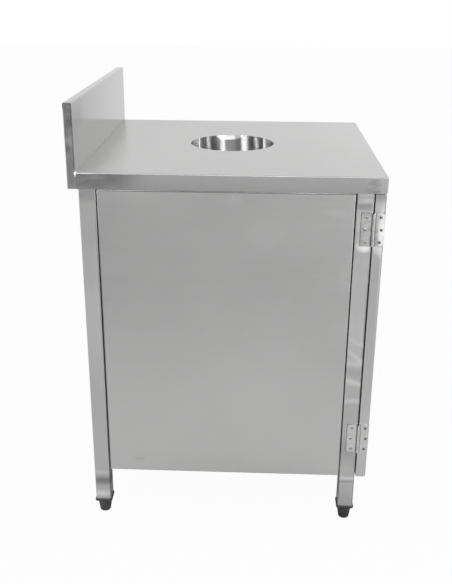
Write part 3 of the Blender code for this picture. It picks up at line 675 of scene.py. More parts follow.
def dress(tree, shader, tint, roughness, height):
    """Gives a shader its colour, its roughness and its bump from a height in metres."""
    fill(tree, shader.inputs["Base Color"], tint)
    fill(tree, shader.inputs["Roughness"], roughness)
    fill(tree, shader.inputs["Normal"], bump_normal(tree, height))


def spot(tree, centre, spread):
    """A soft mask: 1 at its centre, 0 where its spread ends."""
    return place_group(tree, "Soft spot", Centre=centre, Spread=spread)["Depth"]


def dent(tree, centre, spread, depth):
    """A hollow of a given depth, in metres."""
    return product(tree, spot(tree, centre, spread), -depth)


def leaf_shade_line(tree, part):
    """The painted shade line round the leaves of both hinges on the leg or on the door."""
    lines = []
    for hinge in HINGES:
        leaf = f"{hinge}_hinge_{part}_leaf"
        half = box_size(leaf) / 2
        half.x = LEAF_LINE_REACH
        sizes = {"Centre": box_middle(leaf), "Half_Size": half, "Width": LEAF_LINE_WIDTH}
        lines.append(place_group(tree, "Seam shade line", **sizes)["Line"])
    return product(tree, math_node(tree, "MAXIMUM", *lines), LEAF_LINE_SHARE)


def streaks_and_clouds(tree, streaks, clouds, share):
    """Streaks and clouds together, by the share that the streaks have."""
    return math_node(tree, "MULTIPLY_ADD", streaks, share, product(tree, clouds, 1 - share))


def brushed_sheet(name, colour, grain):
    """Fine brushed sheet, not yet dressed: streaks along the brushing, soft clouds and wiped smudges."""
    material, tree, shader = new_material(name)
    shader.inputs["Metallic"].default_value = 1.0
    streaks = place_group(tree, "Brushed grain", Fine_Scale=grain, Broad_Share=0.6)["Streaks"]
    cloudy = place_group(tree, "Cloudy polish", Size=3.2)
    even = streaks_and_clouds(tree, streaks, cloudy["Clouds"], share=0.6)
    tint = two_tones(tree, ramp(tree, even, 0.3, 0.7), colour, 0.97, 1.03)
    tint = marked(tree, tint, colour, (product(tree, cloudy["Smudges"], 0.15), 0.86))
    wiped = math_node(tree, "MULTIPLY_ADD", cloudy["Smudges"], 0.3, even)
    roughness = ramp(tree, wiped, 0.25, 0.9, to_low=0.30, to_high=0.38)
    return material, tree, shader, tint, roughness, product(tree, streaks, STREAK_HEIGHT)


def sheet_material(name, colour, grain):
    """Plain brushed sheet."""
    material, tree, shader, tint, roughness, height = brushed_sheet(name, colour, grain)
    dress(tree, shader, tint, roughness, height)
    return material


def side_material(colour):
    """The side panels, with painted shade under the skirt and along two edges, and a scuff low down on the
    left one.
    """
    material, tree, shader, tint, roughness, height = brushed_sheet("side_steel", colour, SIDE_GRAIN)
    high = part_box("side_panel_left")[1]
    axes = axes_of(tree, object_place(tree))
    scuff = spot(tree, (LEFT_FACE, 0.2266, 0.165), spread=(0.02, 0.020, 0.009))
    # Painted shade: darker under the skirt and along the rear and top edges
    shade_under_skirt = spot(tree, (LEFT_FACE, -0.15, high.z), spread=(0.10, 0.42, 0.13))
    rear_edge_shade = ramp(tree, axes["Y"], high.y - 0.0030, high.y - 0.0018)
    top_edge_shade = ramp(tree, axes["Z"], high.z - 0.0040, high.z - 0.0028)
    tint = marked(tree, tint, colour, (scuff, 0.84), (shade_under_skirt, 0.84), (rear_edge_shade, 0.62), (top_edge_shade, 0.36))
    dress(tree, shader, tint, roughness, height)
    return material


def pulled_edge(tree, hinge):
    """The door's edge and the leaf on it, pulled round a little towards the door's front."""
    leaf = f"{hinge}_hinge_door_leaf"
    centre = (LEFT_FACE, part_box(leaf)[0].y - 0.006, box_middle(leaf).z)
    return dent(tree, centre, spread=(0.03, 0.023, 0.085), depth=DOOR_PULL[hinge])


def door_material(colour):
    """The door, pulled in a little at its hinged edge where the leaves are riveted on, with painted shade at
    its top corner and round the leaves.
    """
    material, tree, shader, tint, roughness, height = brushed_sheet("door_steel", colour, DOOR_GRAIN)
    door_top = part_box("door_outer_skin")[1].z
    corner = (LEFT_FACE, box_middle("door_outer_skin").y, door_top)
    # Painted shade: a dark patch at the top corner of the door's edge, and a dark line round each hinge leaf
    corner_shade = spot(tree, corner, spread=(0.02, 0.05, 0.030))
    tint = marked(tree, tint, colour, (leaf_shade_line(tree, "door"), 0.3), (corner_shade, 0.55))
    heights = [height]
    for hinge in HINGES:
        leaf = f"{hinge}_hinge_door_leaf"
        leaf_bottom = (LEFT_FACE, box_middle(leaf).y - 0.006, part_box(leaf)[0].z + 0.004)
        heights.append(dent(tree, leaf_bottom, spread=(0.02, 0.02, 0.030), depth=0.0018))
        heights.append(pulled_edge(tree, hinge))
    dress(tree, shader, tint, roughness, sum_of(tree, *heights))
    return material


def worktop_material(colour):
    """The worktop's sheet: satin on top, and more mirror-like on its skirts and upstand, with painted light
    and shade on the upstand, its rim and its folds.
    """
    material, tree, shader = new_material("worktop_steel")
    shader.inputs["Metallic"].default_value = 1.0
    low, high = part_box("worktop")
    top = TOP_LEVEL
    rear = CAP_LOW.y
    face = rear - CAP_SETBACK
    fold_start = face - FOLD_RADIUS
    axes = axes_of(tree, object_place(tree))
    along = axes["Y"]
    level = axes["Z"]
    streaks = place_group(tree, "Brushed grain", Fine_Scale=SIDE_GRAIN)["Streaks"]
    clouds = place_group(tree, "Cloudy polish", Size=4.0)["Clouds"]
    mottled = place_group(tree, "Cloudy polish", Size=45.0, Stretch=(1.0, 0.5, 2.0))["Clouds"]
    fine_clouds = place_group(tree, "Cloudy polish", Size=26.0, Stretch=(1.0, 1.0, 2.0))["Clouds"]
    even = streaks_and_clouds(tree, streaks, clouds, share=0.5)

    # Masks: the upstand, the skirts, the folds at the top of the skirts and the flat top
    above = ramp(tree, level, top + 0.002, top + 0.006)
    below = ramp(tree, level, top - 0.001, top - 0.004)
    unevenness = product(tree, fine_clouds, below)
    off_top = ramp(tree, level, top - 0.00005, top - 0.0003)
    on_fold = product(tree, ramp(tree, level, top - 0.0030, top - 0.0018), off_top)
    flat = difference(tree, 1.0, math_node(tree, "MAXIMUM", off_top, above))
    hollow = product(
        tree,
        ramp(tree, along, fold_start - 0.0002, fold_start + 0.0001),
        ramp(tree, level, top + FOLD_RADIUS + 0.0004, top + FOLD_RADIUS),
        difference(tree, 1.0, off_top),
    )

    tint = two_tones(tree, ramp(tree, even, 0.3, 0.7), colour, 0.96, 1.04)
    tint = marked(tree, tint, colour, (product(tree, unevenness, 0.5), 0.82))
    pairs = []
    for y, reach, share in SKIRT_PATCHES:
        pair = []
        for x in (low.x, high.x):
            centre = (x, y, (low.z + top) / 2)
            patch = place_group(tree, "Ground patch", Centre=centre, Radius=reach)["Patch"]
            tone = two_tones(tree, ramp(tree, mottled, 0.38, 0.62), colour, share - 0.14, share + 0.2)
            tint = blend(tree, product(tree, patch, below, 0.8), tint, tone)
            pair.append(patch)
        pairs.append(sum_of(tree, *pair))
    ground = product(tree, joined(tree, "MAXIMUM", pairs), below)
    smudge = spot(tree, (low.x + 0.055, face, top + 0.115), spread=(0.10, 0.0009, 0.045))
    front_corner = product(tree, ramp(tree, along, low.y + 0.018, low.y + 0.014), below)
    # Painted shade: the upstand's face and its rim darker than the flat top
    rim = ramp(tree, level, high.z - 0.0014, high.z - 0.0004)
    tint = marked(tree, tint, colour, (product(tree, above, 0.5), 0.74), (smudge, 0.68))
    tint = marked(tree, tint, colour, (front_corner, 1.08), (rim, 0.62))
    # Painted shade and highlight on the fold at the top of the skirts: darker towards the front, lighter by
    # the upstand
    fold_shade_and_highlight = two_tones(tree, ramp(tree, along, -0.25, -0.10), colour, 0.58, 0.80)
    fold_highlight_by_upstand = ramp(tree, along, rear - 0.06, rear - 0.01)
    fold_shade_and_highlight = marked(tree, fold_shade_and_highlight, colour, (fold_highlight_by_upstand, 1.15))
    tint = blend(tree, on_fold, tint, fold_shade_and_highlight)
    # Painted light on the flat top, a shade lighter, and painted shade in the hollow fold under the upstand
    tint = marked(tree, tint, colour, (product(tree, flat, 0.5), 1.01), (hollow, 0.54))

    satin = ramp(tree, even, 0.25, 0.8, to_low=0.27, to_high=0.30)
    polished = ramp(tree, unevenness, 0.0, 0.7, to_low=0.15, to_high=0.11)
    mirror = math_node(tree, "MAXIMUM", above, below)
    roughness = mix_values(tree, mirror, satin, polished)
    roughness = mix_values(tree, ground, roughness, 0.20)
    wave = product(tree, unevenness, SKIRT_WAVE_HEIGHT)
    height = math_node(tree, "MULTIPLY_ADD", streaks, STREAK_HEIGHT / 4, wave)
    dress(tree, shader, tint, roughness, height)
    fill(tree, shader.inputs["Anisotropic"], product(tree, flat, 0.92))
    fill(tree, shader.inputs["Tangent"], vector_of(tree, x=1.0))
    return material


def leg_edges(tree, tint, colour, across):
    """Painted shade on the left legs' edge towards the door, and painted light on their sides in the gaps."""
    for node, share in LEG_EDGES.items():
        half = box_size(node).y / 2
        away = difference(tree, box_middle(node).y, across)
        off = math_node(tree, "ABSOLUTE", away)
        here = math_node(tree, "LESS_THAN", off, half * 2)
        edge = product(tree, ramp(tree, away, half - 0.004, half - 0.002), here)
        side = product(tree, ramp(tree, off, half - 0.0010, half - 0.0003), here)
        tint = marked(tree, tint, colour, (edge, share), (side, 1.8))
    return tint


def leg_crease_reflections(tree, tint, colour, across, level):
    """Painted reflections of the soft creases that cross the left front leg, each a little bent."""
    front = box_middle("leg_front_left")
    creased = spot(tree, (front.x, front.y, 0.42), spread=(0.08, 0.08, 0.24))
    along = difference(tree, across, front.y)
    wobble = difference(tree, place_group(tree, "Cloudy polish", Size=24.0)["Clouds"], 0.5)
    bent = math_node(tree, "MULTIPLY_ADD", wobble, 0.014, level)
    for crease_level, slope, reach, share in LEG_CREASE_REFLECTIONS:
        line = math_node(tree, "MULTIPLY_ADD", along, -slope, bent)
        near = ramp(tree, distance_from(tree, line, crease_level), reach, 0.0)
        tint = marked(tree, tint, colour, (product(tree, near, creased), share))
    return tint


def leg_material(colour):
    """Square tube, darker towards the floor, with the waves and dents that welding leaves, and painted light
    and shade under the skirt, at its edges, in bands and creases.
    """
    material, tree, shader = new_material("leg_steel")
    shader.inputs["Metallic"].default_value = 1.0
    streaks = place_group(tree, "Brushed grain", Fine_Scale=LEG_GRAIN)["Streaks"]
    waves = place_group(tree, "Cloudy polish", Size=9.0, Stretch=(1.0, 1.0, 1.6))["Clouds"]
    even = streaks_and_clouds(tree, streaks, waves, share=0.5)
    axes = axes_of(tree, object_place(tree))
    level = axes["Z"]
    tint = two_tones(tree, ramp(tree, even, 0.3, 0.7), colour, 0.92, 1.08)
    # Darker towards the floor and lighter towards the top
    darker_low_down = two_tones(tree, ramp(tree, level, 0.30, 0.70), colour, 0.84, 1.52)
    tint = blend(tree, 0.75, tint, darker_low_down)
    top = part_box("leg_front_left")[1].z
    # Painted shade at the top of each leg, under the skirt
    shade_under_skirt = product(tree, ramp(tree, level, top - 0.040, top - 0.010), 0.8)
    tint = marked(tree, tint, colour, (shade_under_skirt, 1.05))
    tint = leg_edges(tree, tint, colour, axes["Y"])
    tint = leg_crease_reflections(tree, tint, colour, axes["Y"], level)
    heights = [product(tree, streaks, STREAK_HEIGHT), product(tree, waves, LEG_WAVE_HEIGHT)]
    weld_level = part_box("side_panel_left")[0].z - 0.014
    for corner in CORNERS:
        middle = box_middle(f"leg_{corner}")
        # Painted light and shade in bands across each leg
        bands = REAR_LEG_LIGHT_BANDS if corner.startswith("rear") else FRONT_LEG_LIGHT_BANDS
        for band_level, reach, share in bands:
            band = spot(tree, (middle.x, middle.y, band_level), spread=(0.08, 0.08, reach))
            tint = marked(tree, tint, colour, (band, share))
        weld = (middle.x, middle.y, weld_level)
        heights.append(dent(tree, weld, spread=(0.07, 0.07, 0.013), depth=0.0005))
    for hinge in HINGES:
        leaf = f"{hinge}_hinge_leg_leaf"
        low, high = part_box(leaf)
        across = box_middle(leaf).y
        below = (LEFT_FACE, across + 0.004, low.z + 0.008)
        above = (LEFT_FACE, across + 0.006, high.z + 0.020)
        heights.append(dent(tree, below, spread=(0.02, 0.030, 0.028), depth=LEG_HOLLOW[hinge]))
        heights.append(dent(tree, above, spread=(0.02, 0.034, 0.014), depth=-LEG_SWELLING[hinge]))
    # Painted shade line round each hinge leaf
    tint = marked(tree, tint, colour, (leaf_shade_line(tree, "leg"), 0.35))
    roughness = ramp(tree, even, 0.3, 0.8, to_low=0.18, to_high=0.28)
    dress(tree, shader, tint, roughness, sum_of(tree, *heights))
    return material


def bright_steel(name, colour, roughness, cloud_size, tone=0.12):
    """Polished steel with fine cloudiness, not yet dressed."""
    material, tree, shader = new_material(name)
    shader.inputs["Metallic"].default_value = 1.0
    cloudy = place_group(tree, "Cloudy polish", Size=cloud_size)
    clouds = cloudy["Clouds"]
    tint = two_tones(tree, clouds, colour, 1 - tone, 1 + tone)
    tint = marked(tree, tint, colour, (product(tree, cloudy["Smudges"], 0.5), 0.75))
    return material, tree, shader, tint, ramp(tree, clouds, 0.3, 0.7, *roughness), clouds


def bright_material(name, colour, roughness, cloud_size, tone=0.12):
    """Plain polished steel."""
    made = bright_steel(name, colour, roughness, cloud_size, tone)
    material, tree, shader, tint, gloss, clouds = made
    dress(tree, shader, tint, gloss, product(tree, clouds, CLOUD_HEIGHT))
    return material


def hinge_material(colour):
    """Pressed leaves, with painted shade on them next to the barrel."""
    made = bright_steel("hinge_steel", colour, roughness=(0.22, 0.32), cloud_size=70.0)
    material, tree, shader, tint, gloss, clouds = made
    across = axes_of(tree, object_place(tree))["Y"]
    away = distance_from(tree, across, box_middle("upper_hinge_pin").y)
    # Painted shade on the leaves along both sides of the barrel
    barrel_shade = ramp(tree, away, 0.0022, 0.0036)
    past_barrel = ramp(tree, away, 0.0066, 0.0044)
    tint = marked(tree, tint, colour, (product(tree, barrel_shade, past_barrel, 0.8), 0.35))
    heights = [product(tree, clouds, CLOUD_HEIGHT)]
    heights += [pulled_edge(tree, hinge) for hinge in HINGES]
    dress(tree, shader, tint, gloss, sum_of(tree, *heights))
    return material


def end_cap_material(colour):
    """The upstand's ends, ground across, with painted shade along the edge where each is let in."""
    made = bright_steel("end_cap_steel", colour, roughness=(0.12, 0.24), cloud_size=36.0, tone=0.05)
    material, tree, shader, tint, gloss, clouds = made
    streaks = place_group(tree, "Brushed grain", Fine_Scale=CAP_GRAIN)["Streaks"]
    ground = ramp(tree, streaks, 0.35, 0.65, to_low=0.0, to_high=0.3)
    tint = marked(tree, tint, colour, (ground, 0.8))
    middle = box_middle("upstand_end_cap_left")
    for level, reach, share in END_CAP_BANDS:
        mark = spot(tree, (CAP_LOW.x, middle.y, level), spread=(0.02, 0.06, reach))
        tint = marked(tree, tint, colour, (mark, share))
    axes = axes_of(tree, object_place(tree))
    # Painted shade along the edge where each end is let in
    edge = ramp(tree, axes["Y"], CAP_LOW.y + 0.0022, CAP_LOW.y + 0.0006)
    raised = ramp(tree, axes["Z"], TOP_LEVEL, TOP_LEVEL + 0.02)
    tint = marked(tree, tint, colour, (product(tree, edge, raised, 0.7), 0.35))
    dress(tree, shader, tint, gloss, product(tree, clouds, CLOUD_HEIGHT))
    return material


def chute_material(colour):
    """The rolled ring, brushed round its axis so that it throws upright bands of light, with painted shade
    between the bands.
    """
    made = bright_steel("chute_steel", colour, roughness=(0.22, 0.26), cloud_size=7.0)
    material, tree, shader, tint, gloss, clouds = made
    middle = box_middle("chute_collar")
    radius = box_size("chute_collar").y / 2
    axes = axes_of(tree, object_place(tree))
    away = distance_from(tree, axes["Y"], middle.y + radius * 0.04)
    walls = ramp(tree, away, radius * 0.40, radius * 0.50)
    far_half = ramp(tree, axes["X"], middle.x, middle.x + 0.01)
    ends = product(tree, ramp(tree, away, radius * 0.745, radius * 0.775), far_half)
    # Painted shade: the walls between the bands darker, and the ends of the far half a little darker
    tint = marked(tree, tint, colour, (walls, 0.62), (ends, 0.95))
    dress(tree, shader, tint, gloss, product(tree, clouds, CHUTE_CLOUD_HEIGHT))

    # Under the lip and at the ends of the far half the normal leans up a little, to catch more light
    lip = (middle.x + radius, middle.y + radius * 0.11, TOP_LEVEL)
    under_lip = spot(tree, lip, spread=(0.2, radius * 0.40, 0.016))
    flare = product(tree, ramp(tree, under_lip, 0.05, 0.30), 0.45)
    lift = vector_of(tree, z=math_node(tree, "MULTIPLY_ADD", ends, 0.22, flare))
    plain = shader.inputs["Normal"].links[0].from_socket
    leaning = vector_node(tree, "ADD", plain, lift)[0]
    fill(tree, shader.inputs["Normal"], vector_node(tree, "NORMALIZE", leaning)[0])
    shader.inputs["Anisotropic"].default_value = 1.0
    shader.inputs["Anisotropic Rotation"].default_value = 0.25
    tangent = add_node(tree, "ShaderNodeTangent", direction_type="RADIAL", axis="Z")
    fill(tree, shader.inputs["Tangent"], tangent.outputs["Tangent"])
    return material


def plastic_material(name, colour, roughness, grain, lighter_nodes=()):
    """Moulded plastic with a pebbled skin and pale scuffs, lighter round some nodes."""
    material, tree, shader = new_material(name)
    skin = place_group(tree, "Moulded skin", Grain=grain)
    tint = two_tones(tree, product(tree, skin["Scuffs"], 0.6), colour, 1.0, 1.7)
    for node in lighter_nodes:
        lighter_spot = spot(tree, box_middle(node), spread=(0.06, 0.06, 0.06))
        tint = marked(tree, tint, colour, (lighter_spot, 1.9))
    gloss = ramp(tree, skin["Scuffs"], 0.0, 1.0, *roughness)
    dress(tree, shader, tint, gloss, product(tree, skin["Pebbles"], PEBBLE_HEIGHT))
    return material


def magnet_material():
    """Dark ferrite between bright pole plates."""
    material, tree, shader = new_material("magnet_ferrite")
    height = box_size("catch_magnet").z
    level = axes_of(tree, object_place(tree))["Z"]
    away = distance_from(tree, level, box_middle("catch_magnet").z)
    pole = ramp(tree, away, height * 0.27, height * 0.30)
    skin = place_group(tree, "Moulded skin", Grain=1400.0)
    ferrite = blend(tree, skin["Scuffs"], (0.03, 0.03, 0.032, 1.0), (0.06, 0.06, 0.062, 1.0))
    tint = blend(tree, pole, ferrite, (0.5, 0.5, 0.49, 1.0))
    gloss = ramp(tree, skin["Scuffs"], 0.0, 1.0, to_low=0.35, to_high=0.55)
    dress(tree, shader, tint, gloss, product(tree, skin["Pebbles"], FERRITE_HEIGHT))
    fill(tree, shader.inputs["Metallic"], pole)
    return material


def make_finishes(settings):
    """The finishes of the frame's pieces by short name; fasteners and welds find theirs by its full name."""
    sheet = settings.sheet_colour
    bright = settings.bright_colour
    rivet = settings.rivet_colour
    black = settings.black_colour
    grey = settings.grey_colour
    weld = settings.weld_colour
    # Painted shade: the rivet heads are dark for the dark things that they reflect, the leg's ones twice as
    # light as the door's
    bright_material("leg_rivets", shade(rivet, 2.0)[:3], roughness=(0.30, 0.42), cloud_size=220.0)
    bright_material("door_rivets", rivet, roughness=(0.30, 0.42), cloud_size=220.0)
    bright_material("screw_steel", bright, roughness=(0.22, 0.34), cloud_size=160.0)
    bright_material("thread_steel", bright, roughness=(0.28, 0.42), cloud_size=90.0)
    bright_material("weld_steel", weld, roughness=(0.18, 0.34), cloud_size=260.0, tone=0.2)
    handle = bright_material("handle_steel", bright, roughness=(0.14, 0.24), cloud_size=40.0)
    black_plastic = plastic_material("black_plastic", black, (0.42, 0.6), grain=900.0, lighter_nodes=REAR_FEET)
    grey_plastic = plastic_material("grey_plastic", grey, (0.38, 0.5), grain=1200.0)
    return {
        "worktop": worktop_material(settings.worktop_colour),
        "side_sheet": side_material(sheet),
        "cross_sheet": sheet_material("cross_steel", sheet, CROSS_GRAIN),
        "door_sheet": door_material(sheet),
        "leg": leg_material(settings.leg_colour),
        "end_cap": end_cap_material(shade(settings.worktop_colour, 1.22)[:3]),
        "hinge": hinge_material(bright),
        "handle": handle,
        "chute": chute_material(shade(bright, 0.86)[:3]),
        "black_plastic": black_plastic,
        "grey_plastic": grey_plastic,
        "magnet": magnet_material(),
    }


# Pieces


def add_object(name, data):
    """An object in the scene."""
    made = bpy.data.objects.new(name, data)
    bpy.context.scene.collection.objects.link(made)
    return made


def link_piece(name, mesh, body, replaced):
    """A finished piece on its body, in place of the nodes that it stands for."""
    piece = add_object(name, mesh)
    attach(piece, body)
    if replaced:
        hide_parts(*replaced)
    return piece


def plain_mesh(name, holder):
    """The mesh of an object with its modifiers applied; the object is removed."""
    depsgraph = bpy.context.evaluated_depsgraph_get()
    mesh = bpy.data.meshes.new_from_object(holder.evaluated_get(depsgraph), depsgraph=depsgraph)
    mesh.name = name
    bpy.data.objects.remove(holder)
    return mesh


def shade_round(shape):
    """Smooth shading on a shape, sharp where it turns a corner."""
    for face in shape.faces:
        face.smooth = True
        face.material_index = 0
    for edge in shape.edges:
        edge.smooth = edge.is_manifold and edge.calc_face_angle() < SMOOTH_ANGLE


def round_fold(shape):
    """Rounds the hollow fold where the upstand rises from the worktop."""
    folds = []
    for edge in shape.edges:
        hollow = edge.is_manifold and not edge.is_convex and edge.calc_face_angle() > SMOOTH_ANGLE
        on_top = all(abs(vertex.co.z - TOP_LEVEL) < SAME_LEVEL for vertex in edge.verts)
        if hollow and on_top and edge.calc_length() > FOLD_LENGTH:
            folds.append(edge)
    bmesh.ops.bevel(
        shape, geom=folds, offset=FOLD_RADIUS, segments=FOLD_STEPS, profile=0.5, affect="EDGES"
    )


def smooth_copy(node, material):
    """A copy of a node with its seams merged and its folds shaded round, in place of the node."""
    name = f"{node}_skin"
    shape = bmesh.new()
    shape.from_mesh(frame["nodes"][node].data)
    bmesh.ops.remove_doubles(shape, verts=shape.verts, dist=SAME_PLACE)
    if node == "worktop":
        round_fold(shape)
    shade_round(shape)
    mesh = bpy.data.meshes.new(name)
    shape.to_mesh(mesh)
    shape.free()
    mesh.materials.append(material)
    holder = add_object("holder", mesh)
    modifier = holder.modifiers.new("flat faces stay flat", "WEIGHTED_NORMAL")
    modifier.keep_sharp = True
    modifier.weight = 100
    return link_piece(name, plain_mesh(name, holder), BODY_OF[node], [node])


class CABINET_OT_finishes(bpy.types.Operator):
    """Gives every large piece its finish, with smooth folds and round edges"""

    bl_idname = "cabinet.finishes"
    bl_label = "Sheet, tube and plastic"

    def execute(self, context):
        make_grain_group()
        make_cloud_group()
        make_patch_group()
        make_dent_group()
        make_seam_group()
        make_moulded_group()
        finishes = make_finishes(context.scene.cabinet_finish)
        for node, finish in FINISH_OF.items():
            smooth_copy(node, finishes[finish])
        return {"FINISHED"}


# Fasteners and welds


def new_geometry_tree(name, inputs):
    """A Geometry Nodes tree with named inputs and a material; returns the tree and what comes in."""
    tree = bpy.data.node_groups.new(name, "GeometryNodeTree")
    tree.interface.new_socket("Geometry", in_out="INPUT", socket_type="NodeSocketGeometry")
    add_inputs(tree, inputs)
    tree.interface.new_socket("Material", in_out="INPUT", socket_type="NodeSocketMaterial")
    tree.interface.new_socket("Geometry", in_out="OUTPUT", socket_type="NodeSocketGeometry")
    return tree, tree.nodes.new("NodeGroupInput").outputs


def end_tree(tree, ins, geometry):
    """Ends a tree: copies made real, and the material set."""
    real = add_node(tree, "GeometryNodeRealizeInstances", {"Geometry": geometry}).outputs[0]
    coated = add_node(tree, "GeometryNodeSetMaterial", {"Geometry": real, "Material": ins["Material"]})
    tree.links.new(coated.outputs[0], tree.nodes.new("NodeGroupOutput").inputs["Geometry"])


def from_settings(settings, *names):
    """The inputs of a tree that have the names and values of some settings."""
    return {name.replace("_", " ").title(): getattr(settings, name) for name in names}


def grown_piece(name, tree, holder_mesh, body, replaced, values):
    """Runs a tree on a mesh with its named values, and puts the plain result on a body."""
    holder = add_object("holder", holder_mesh)
    modifier = holder.modifiers.new(name, "NODES")
    modifier.node_group = tree
    identifiers = {item.name: item.identifier for item in tree.interface.items_tree if item.in_out == "INPUT"}
    for socket, value in values.items():
        modifier[identifiers[socket]] = value
    mesh = plain_mesh(name, holder)
    shape = bmesh.new()
    shape.from_mesh(mesh)
    shade_round(shape)
    shape.to_mesh(mesh)
    shape.free()
    mesh.materials.clear()
    mesh.materials.append(values["Material"])
    return link_piece(name, mesh, body, replaced)


def points_mesh(places):
    """A mesh of single points, each with the way that it faces."""
    mesh = bpy.data.meshes.new("places")
    mesh.from_pydata([tuple(place) for place, facing in places], [], [])
    facings = mesh.attributes.new("facing", "FLOAT_VECTOR", "POINT")
    for item, (place, facing) in zip(facings.data, places):
        item.vector = facing
    return mesh


def wrapped_grid(tree, sides, rings):
    """A grid to wrap round Z: its mesh, and the share of a turn and of the length at each point."""
    across = math_node(tree, "ADD", sides, 1)
    sizes = {"Size X": 1.0, "Size Y": 1.0, "Vertices X": across, "Vertices Y": rings}
    grid = add_node(tree, "GeometryNodeMeshGrid", sizes)
    axes = axes_of(tree, tree.nodes.new("GeometryNodeInputPosition").outputs[0])
    turn = math_node(tree, "ADD", axes["X"], 0.5)
    along = math_node(tree, "ADD", axes["Y"], 0.5)
    return grid.outputs["Mesh"], turn, along


def wrapped(tree, mesh, turn, radius, level):
    """The grid wrapped round Z at a radius and a level, with its seam and its ends closed."""
    angle = product(tree, turn, 2 * math.pi)
    x = product(tree, radius, math_node(tree, "COSINE", angle))
    y = product(tree, radius, math_node(tree, "SINE", angle))
    places = {"Geometry": mesh, "Position": vector_of(tree, x, y, level)}
    moved = add_node(tree, "GeometryNodeSetPosition", places).outputs[0]
    merged = {"Geometry": moved, "Distance": MERGE_DISTANCE}
    return add_node(tree, "GeometryNodeMergeByDistance", merged).outputs[0]


def by_ring(tree, ring, values):
    """A value chosen by ring from a list of numbers and sockets."""
    node = add_node(tree, "GeometryNodeIndexSwitch", data_type="FLOAT")
    while len(node.index_switch_items) < len(values):
        node.index_switch_items.new()
    fill(tree, node.inputs["Index"], ring)
    for number, value in enumerate(values, 1):
        fill(tree, node.inputs[number], value)
    return node.outputs[0]


def turned(tree, sides, profile):
    """A shape turned about Z from a profile of (radius, level), from its lower end to its upper end."""
    mesh, turn, along = wrapped_grid(tree, sides, len(profile))
    ring = math_node(tree, "ROUND", product(tree, along, len(profile) - 1))
    radius = by_ring(tree, ring, [point[0] for point in profile])
    level = by_ring(tree, ring, [point[1] for point in profile])
    return wrapped(tree, mesh, turn, radius, level)


def scaled(tree, value, *shares):
    """A value multiplied by each of several shares."""
    return [product(tree, value, share) for share in shares]


def placed_on_points(tree, ins, shape):
    """Copies of a shape on the points, each turned the way its point faces and by chance about itself."""
    facing = add_node(tree, "GeometryNodeInputNamedAttribute", {"Name": "facing"}, data_type="FLOAT_VECTOR")
    aligned = add_node(tree, "FunctionNodeAlignRotationToVector", {"Vector": facing.outputs[0]}, axis="Z")
    points = {"Points": ins["Geometry"], "Instance": shape, "Rotation": aligned.outputs[0]}
    copies = add_node(tree, "GeometryNodeInstanceOnPoints", points).outputs[0]
    half_turn = {2: 0.0, 3: math.pi, "Seed": ins["Seed"]}
    chance = add_node(tree, "FunctionNodeRandomValue", half_turn, data_type="FLOAT").outputs[1]
    spin = {"Instances": copies, "Rotation": vector_of(tree, z=chance)}
    return add_node(tree, "GeometryNodeRotateInstances", spin).outputs[0]


def rivet_tree():
    """Blind rivets: a domed head with the mandrel's hole, and a shank."""
    inputs = {
        "Head Diameter": 0.007,
        "Head Height": 0.0014,
        "Shank Diameter": 0.0032,
        "Shank Length": 0.006,
        "Mandrel Diameter": 0.0024,
        "Sides": 20,
        "Seed": 1,
    }
    tree, ins = new_geometry_tree("Blind rivets", inputs)
    rim, shoulder, dome, crown = scaled(tree, ins["Head Diameter"], 0.5, 0.47, 0.39, 0.27)
    low, middle, high, floor = scaled(tree, ins["Head Height"], 0.18, 0.52, 0.82, 0.3)
    shank = product(tree, ins["Shank Diameter"], 0.5)
    hole, lip = scaled(tree, ins["Mandrel Diameter"], 0.46, 0.54)
    end = product(tree, ins["Shank Length"], -1.0)
    top = ins["Head Height"]
    profile = [
        (0.0, end),
        (shank, end),
        (shank, 0.0),
        (rim, 0.0),
        (rim, low),
        (shoulder, middle),
        (dome, high),
        (crown, top),
        (lip, top),
        (hole, high),
        (hole, floor),
        (0.0, floor),
    ]
    end_tree(tree, ins, placed_on_points(tree, ins, turned(tree, ins["Sides"], profile)))
    return tree


class CABINET_OT_rivets(bpy.types.Operator):
    """Makes the rivets of both hinges, on the legs and on the door"""

    bl_idname = "cabinet.rivets"
    bl_label = "Hinge rivets"

    def execute(self, context):
        settings = context.scene.cabinet_rivets
        sizes = ("head_diameter", "head_height", "shank_diameter", "mandrel_diameter", "sides")
        tree = rivet_tree()
        for name, nodes in (("leg_rivets", LEG_RIVETS), ("door_rivets", DOOR_RIVETS)):
            first = nodes[0]
            places = []
            for node in nodes:
                middle = box_middle(node)
                middle.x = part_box(node)[0].x + settings.head_height
                places.append((middle, (-1.0, 0.0, 0.0)))
            values = from_settings(settings, *sizes)
            values["Shank Length"] = box_size(first).x - settings.head_height
            values["Material"] = bpy.data.materials[name]
            grown_piece(name, tree, points_mesh(places), BODY_OF[first], nodes, values)
        return {"FINISHED"}


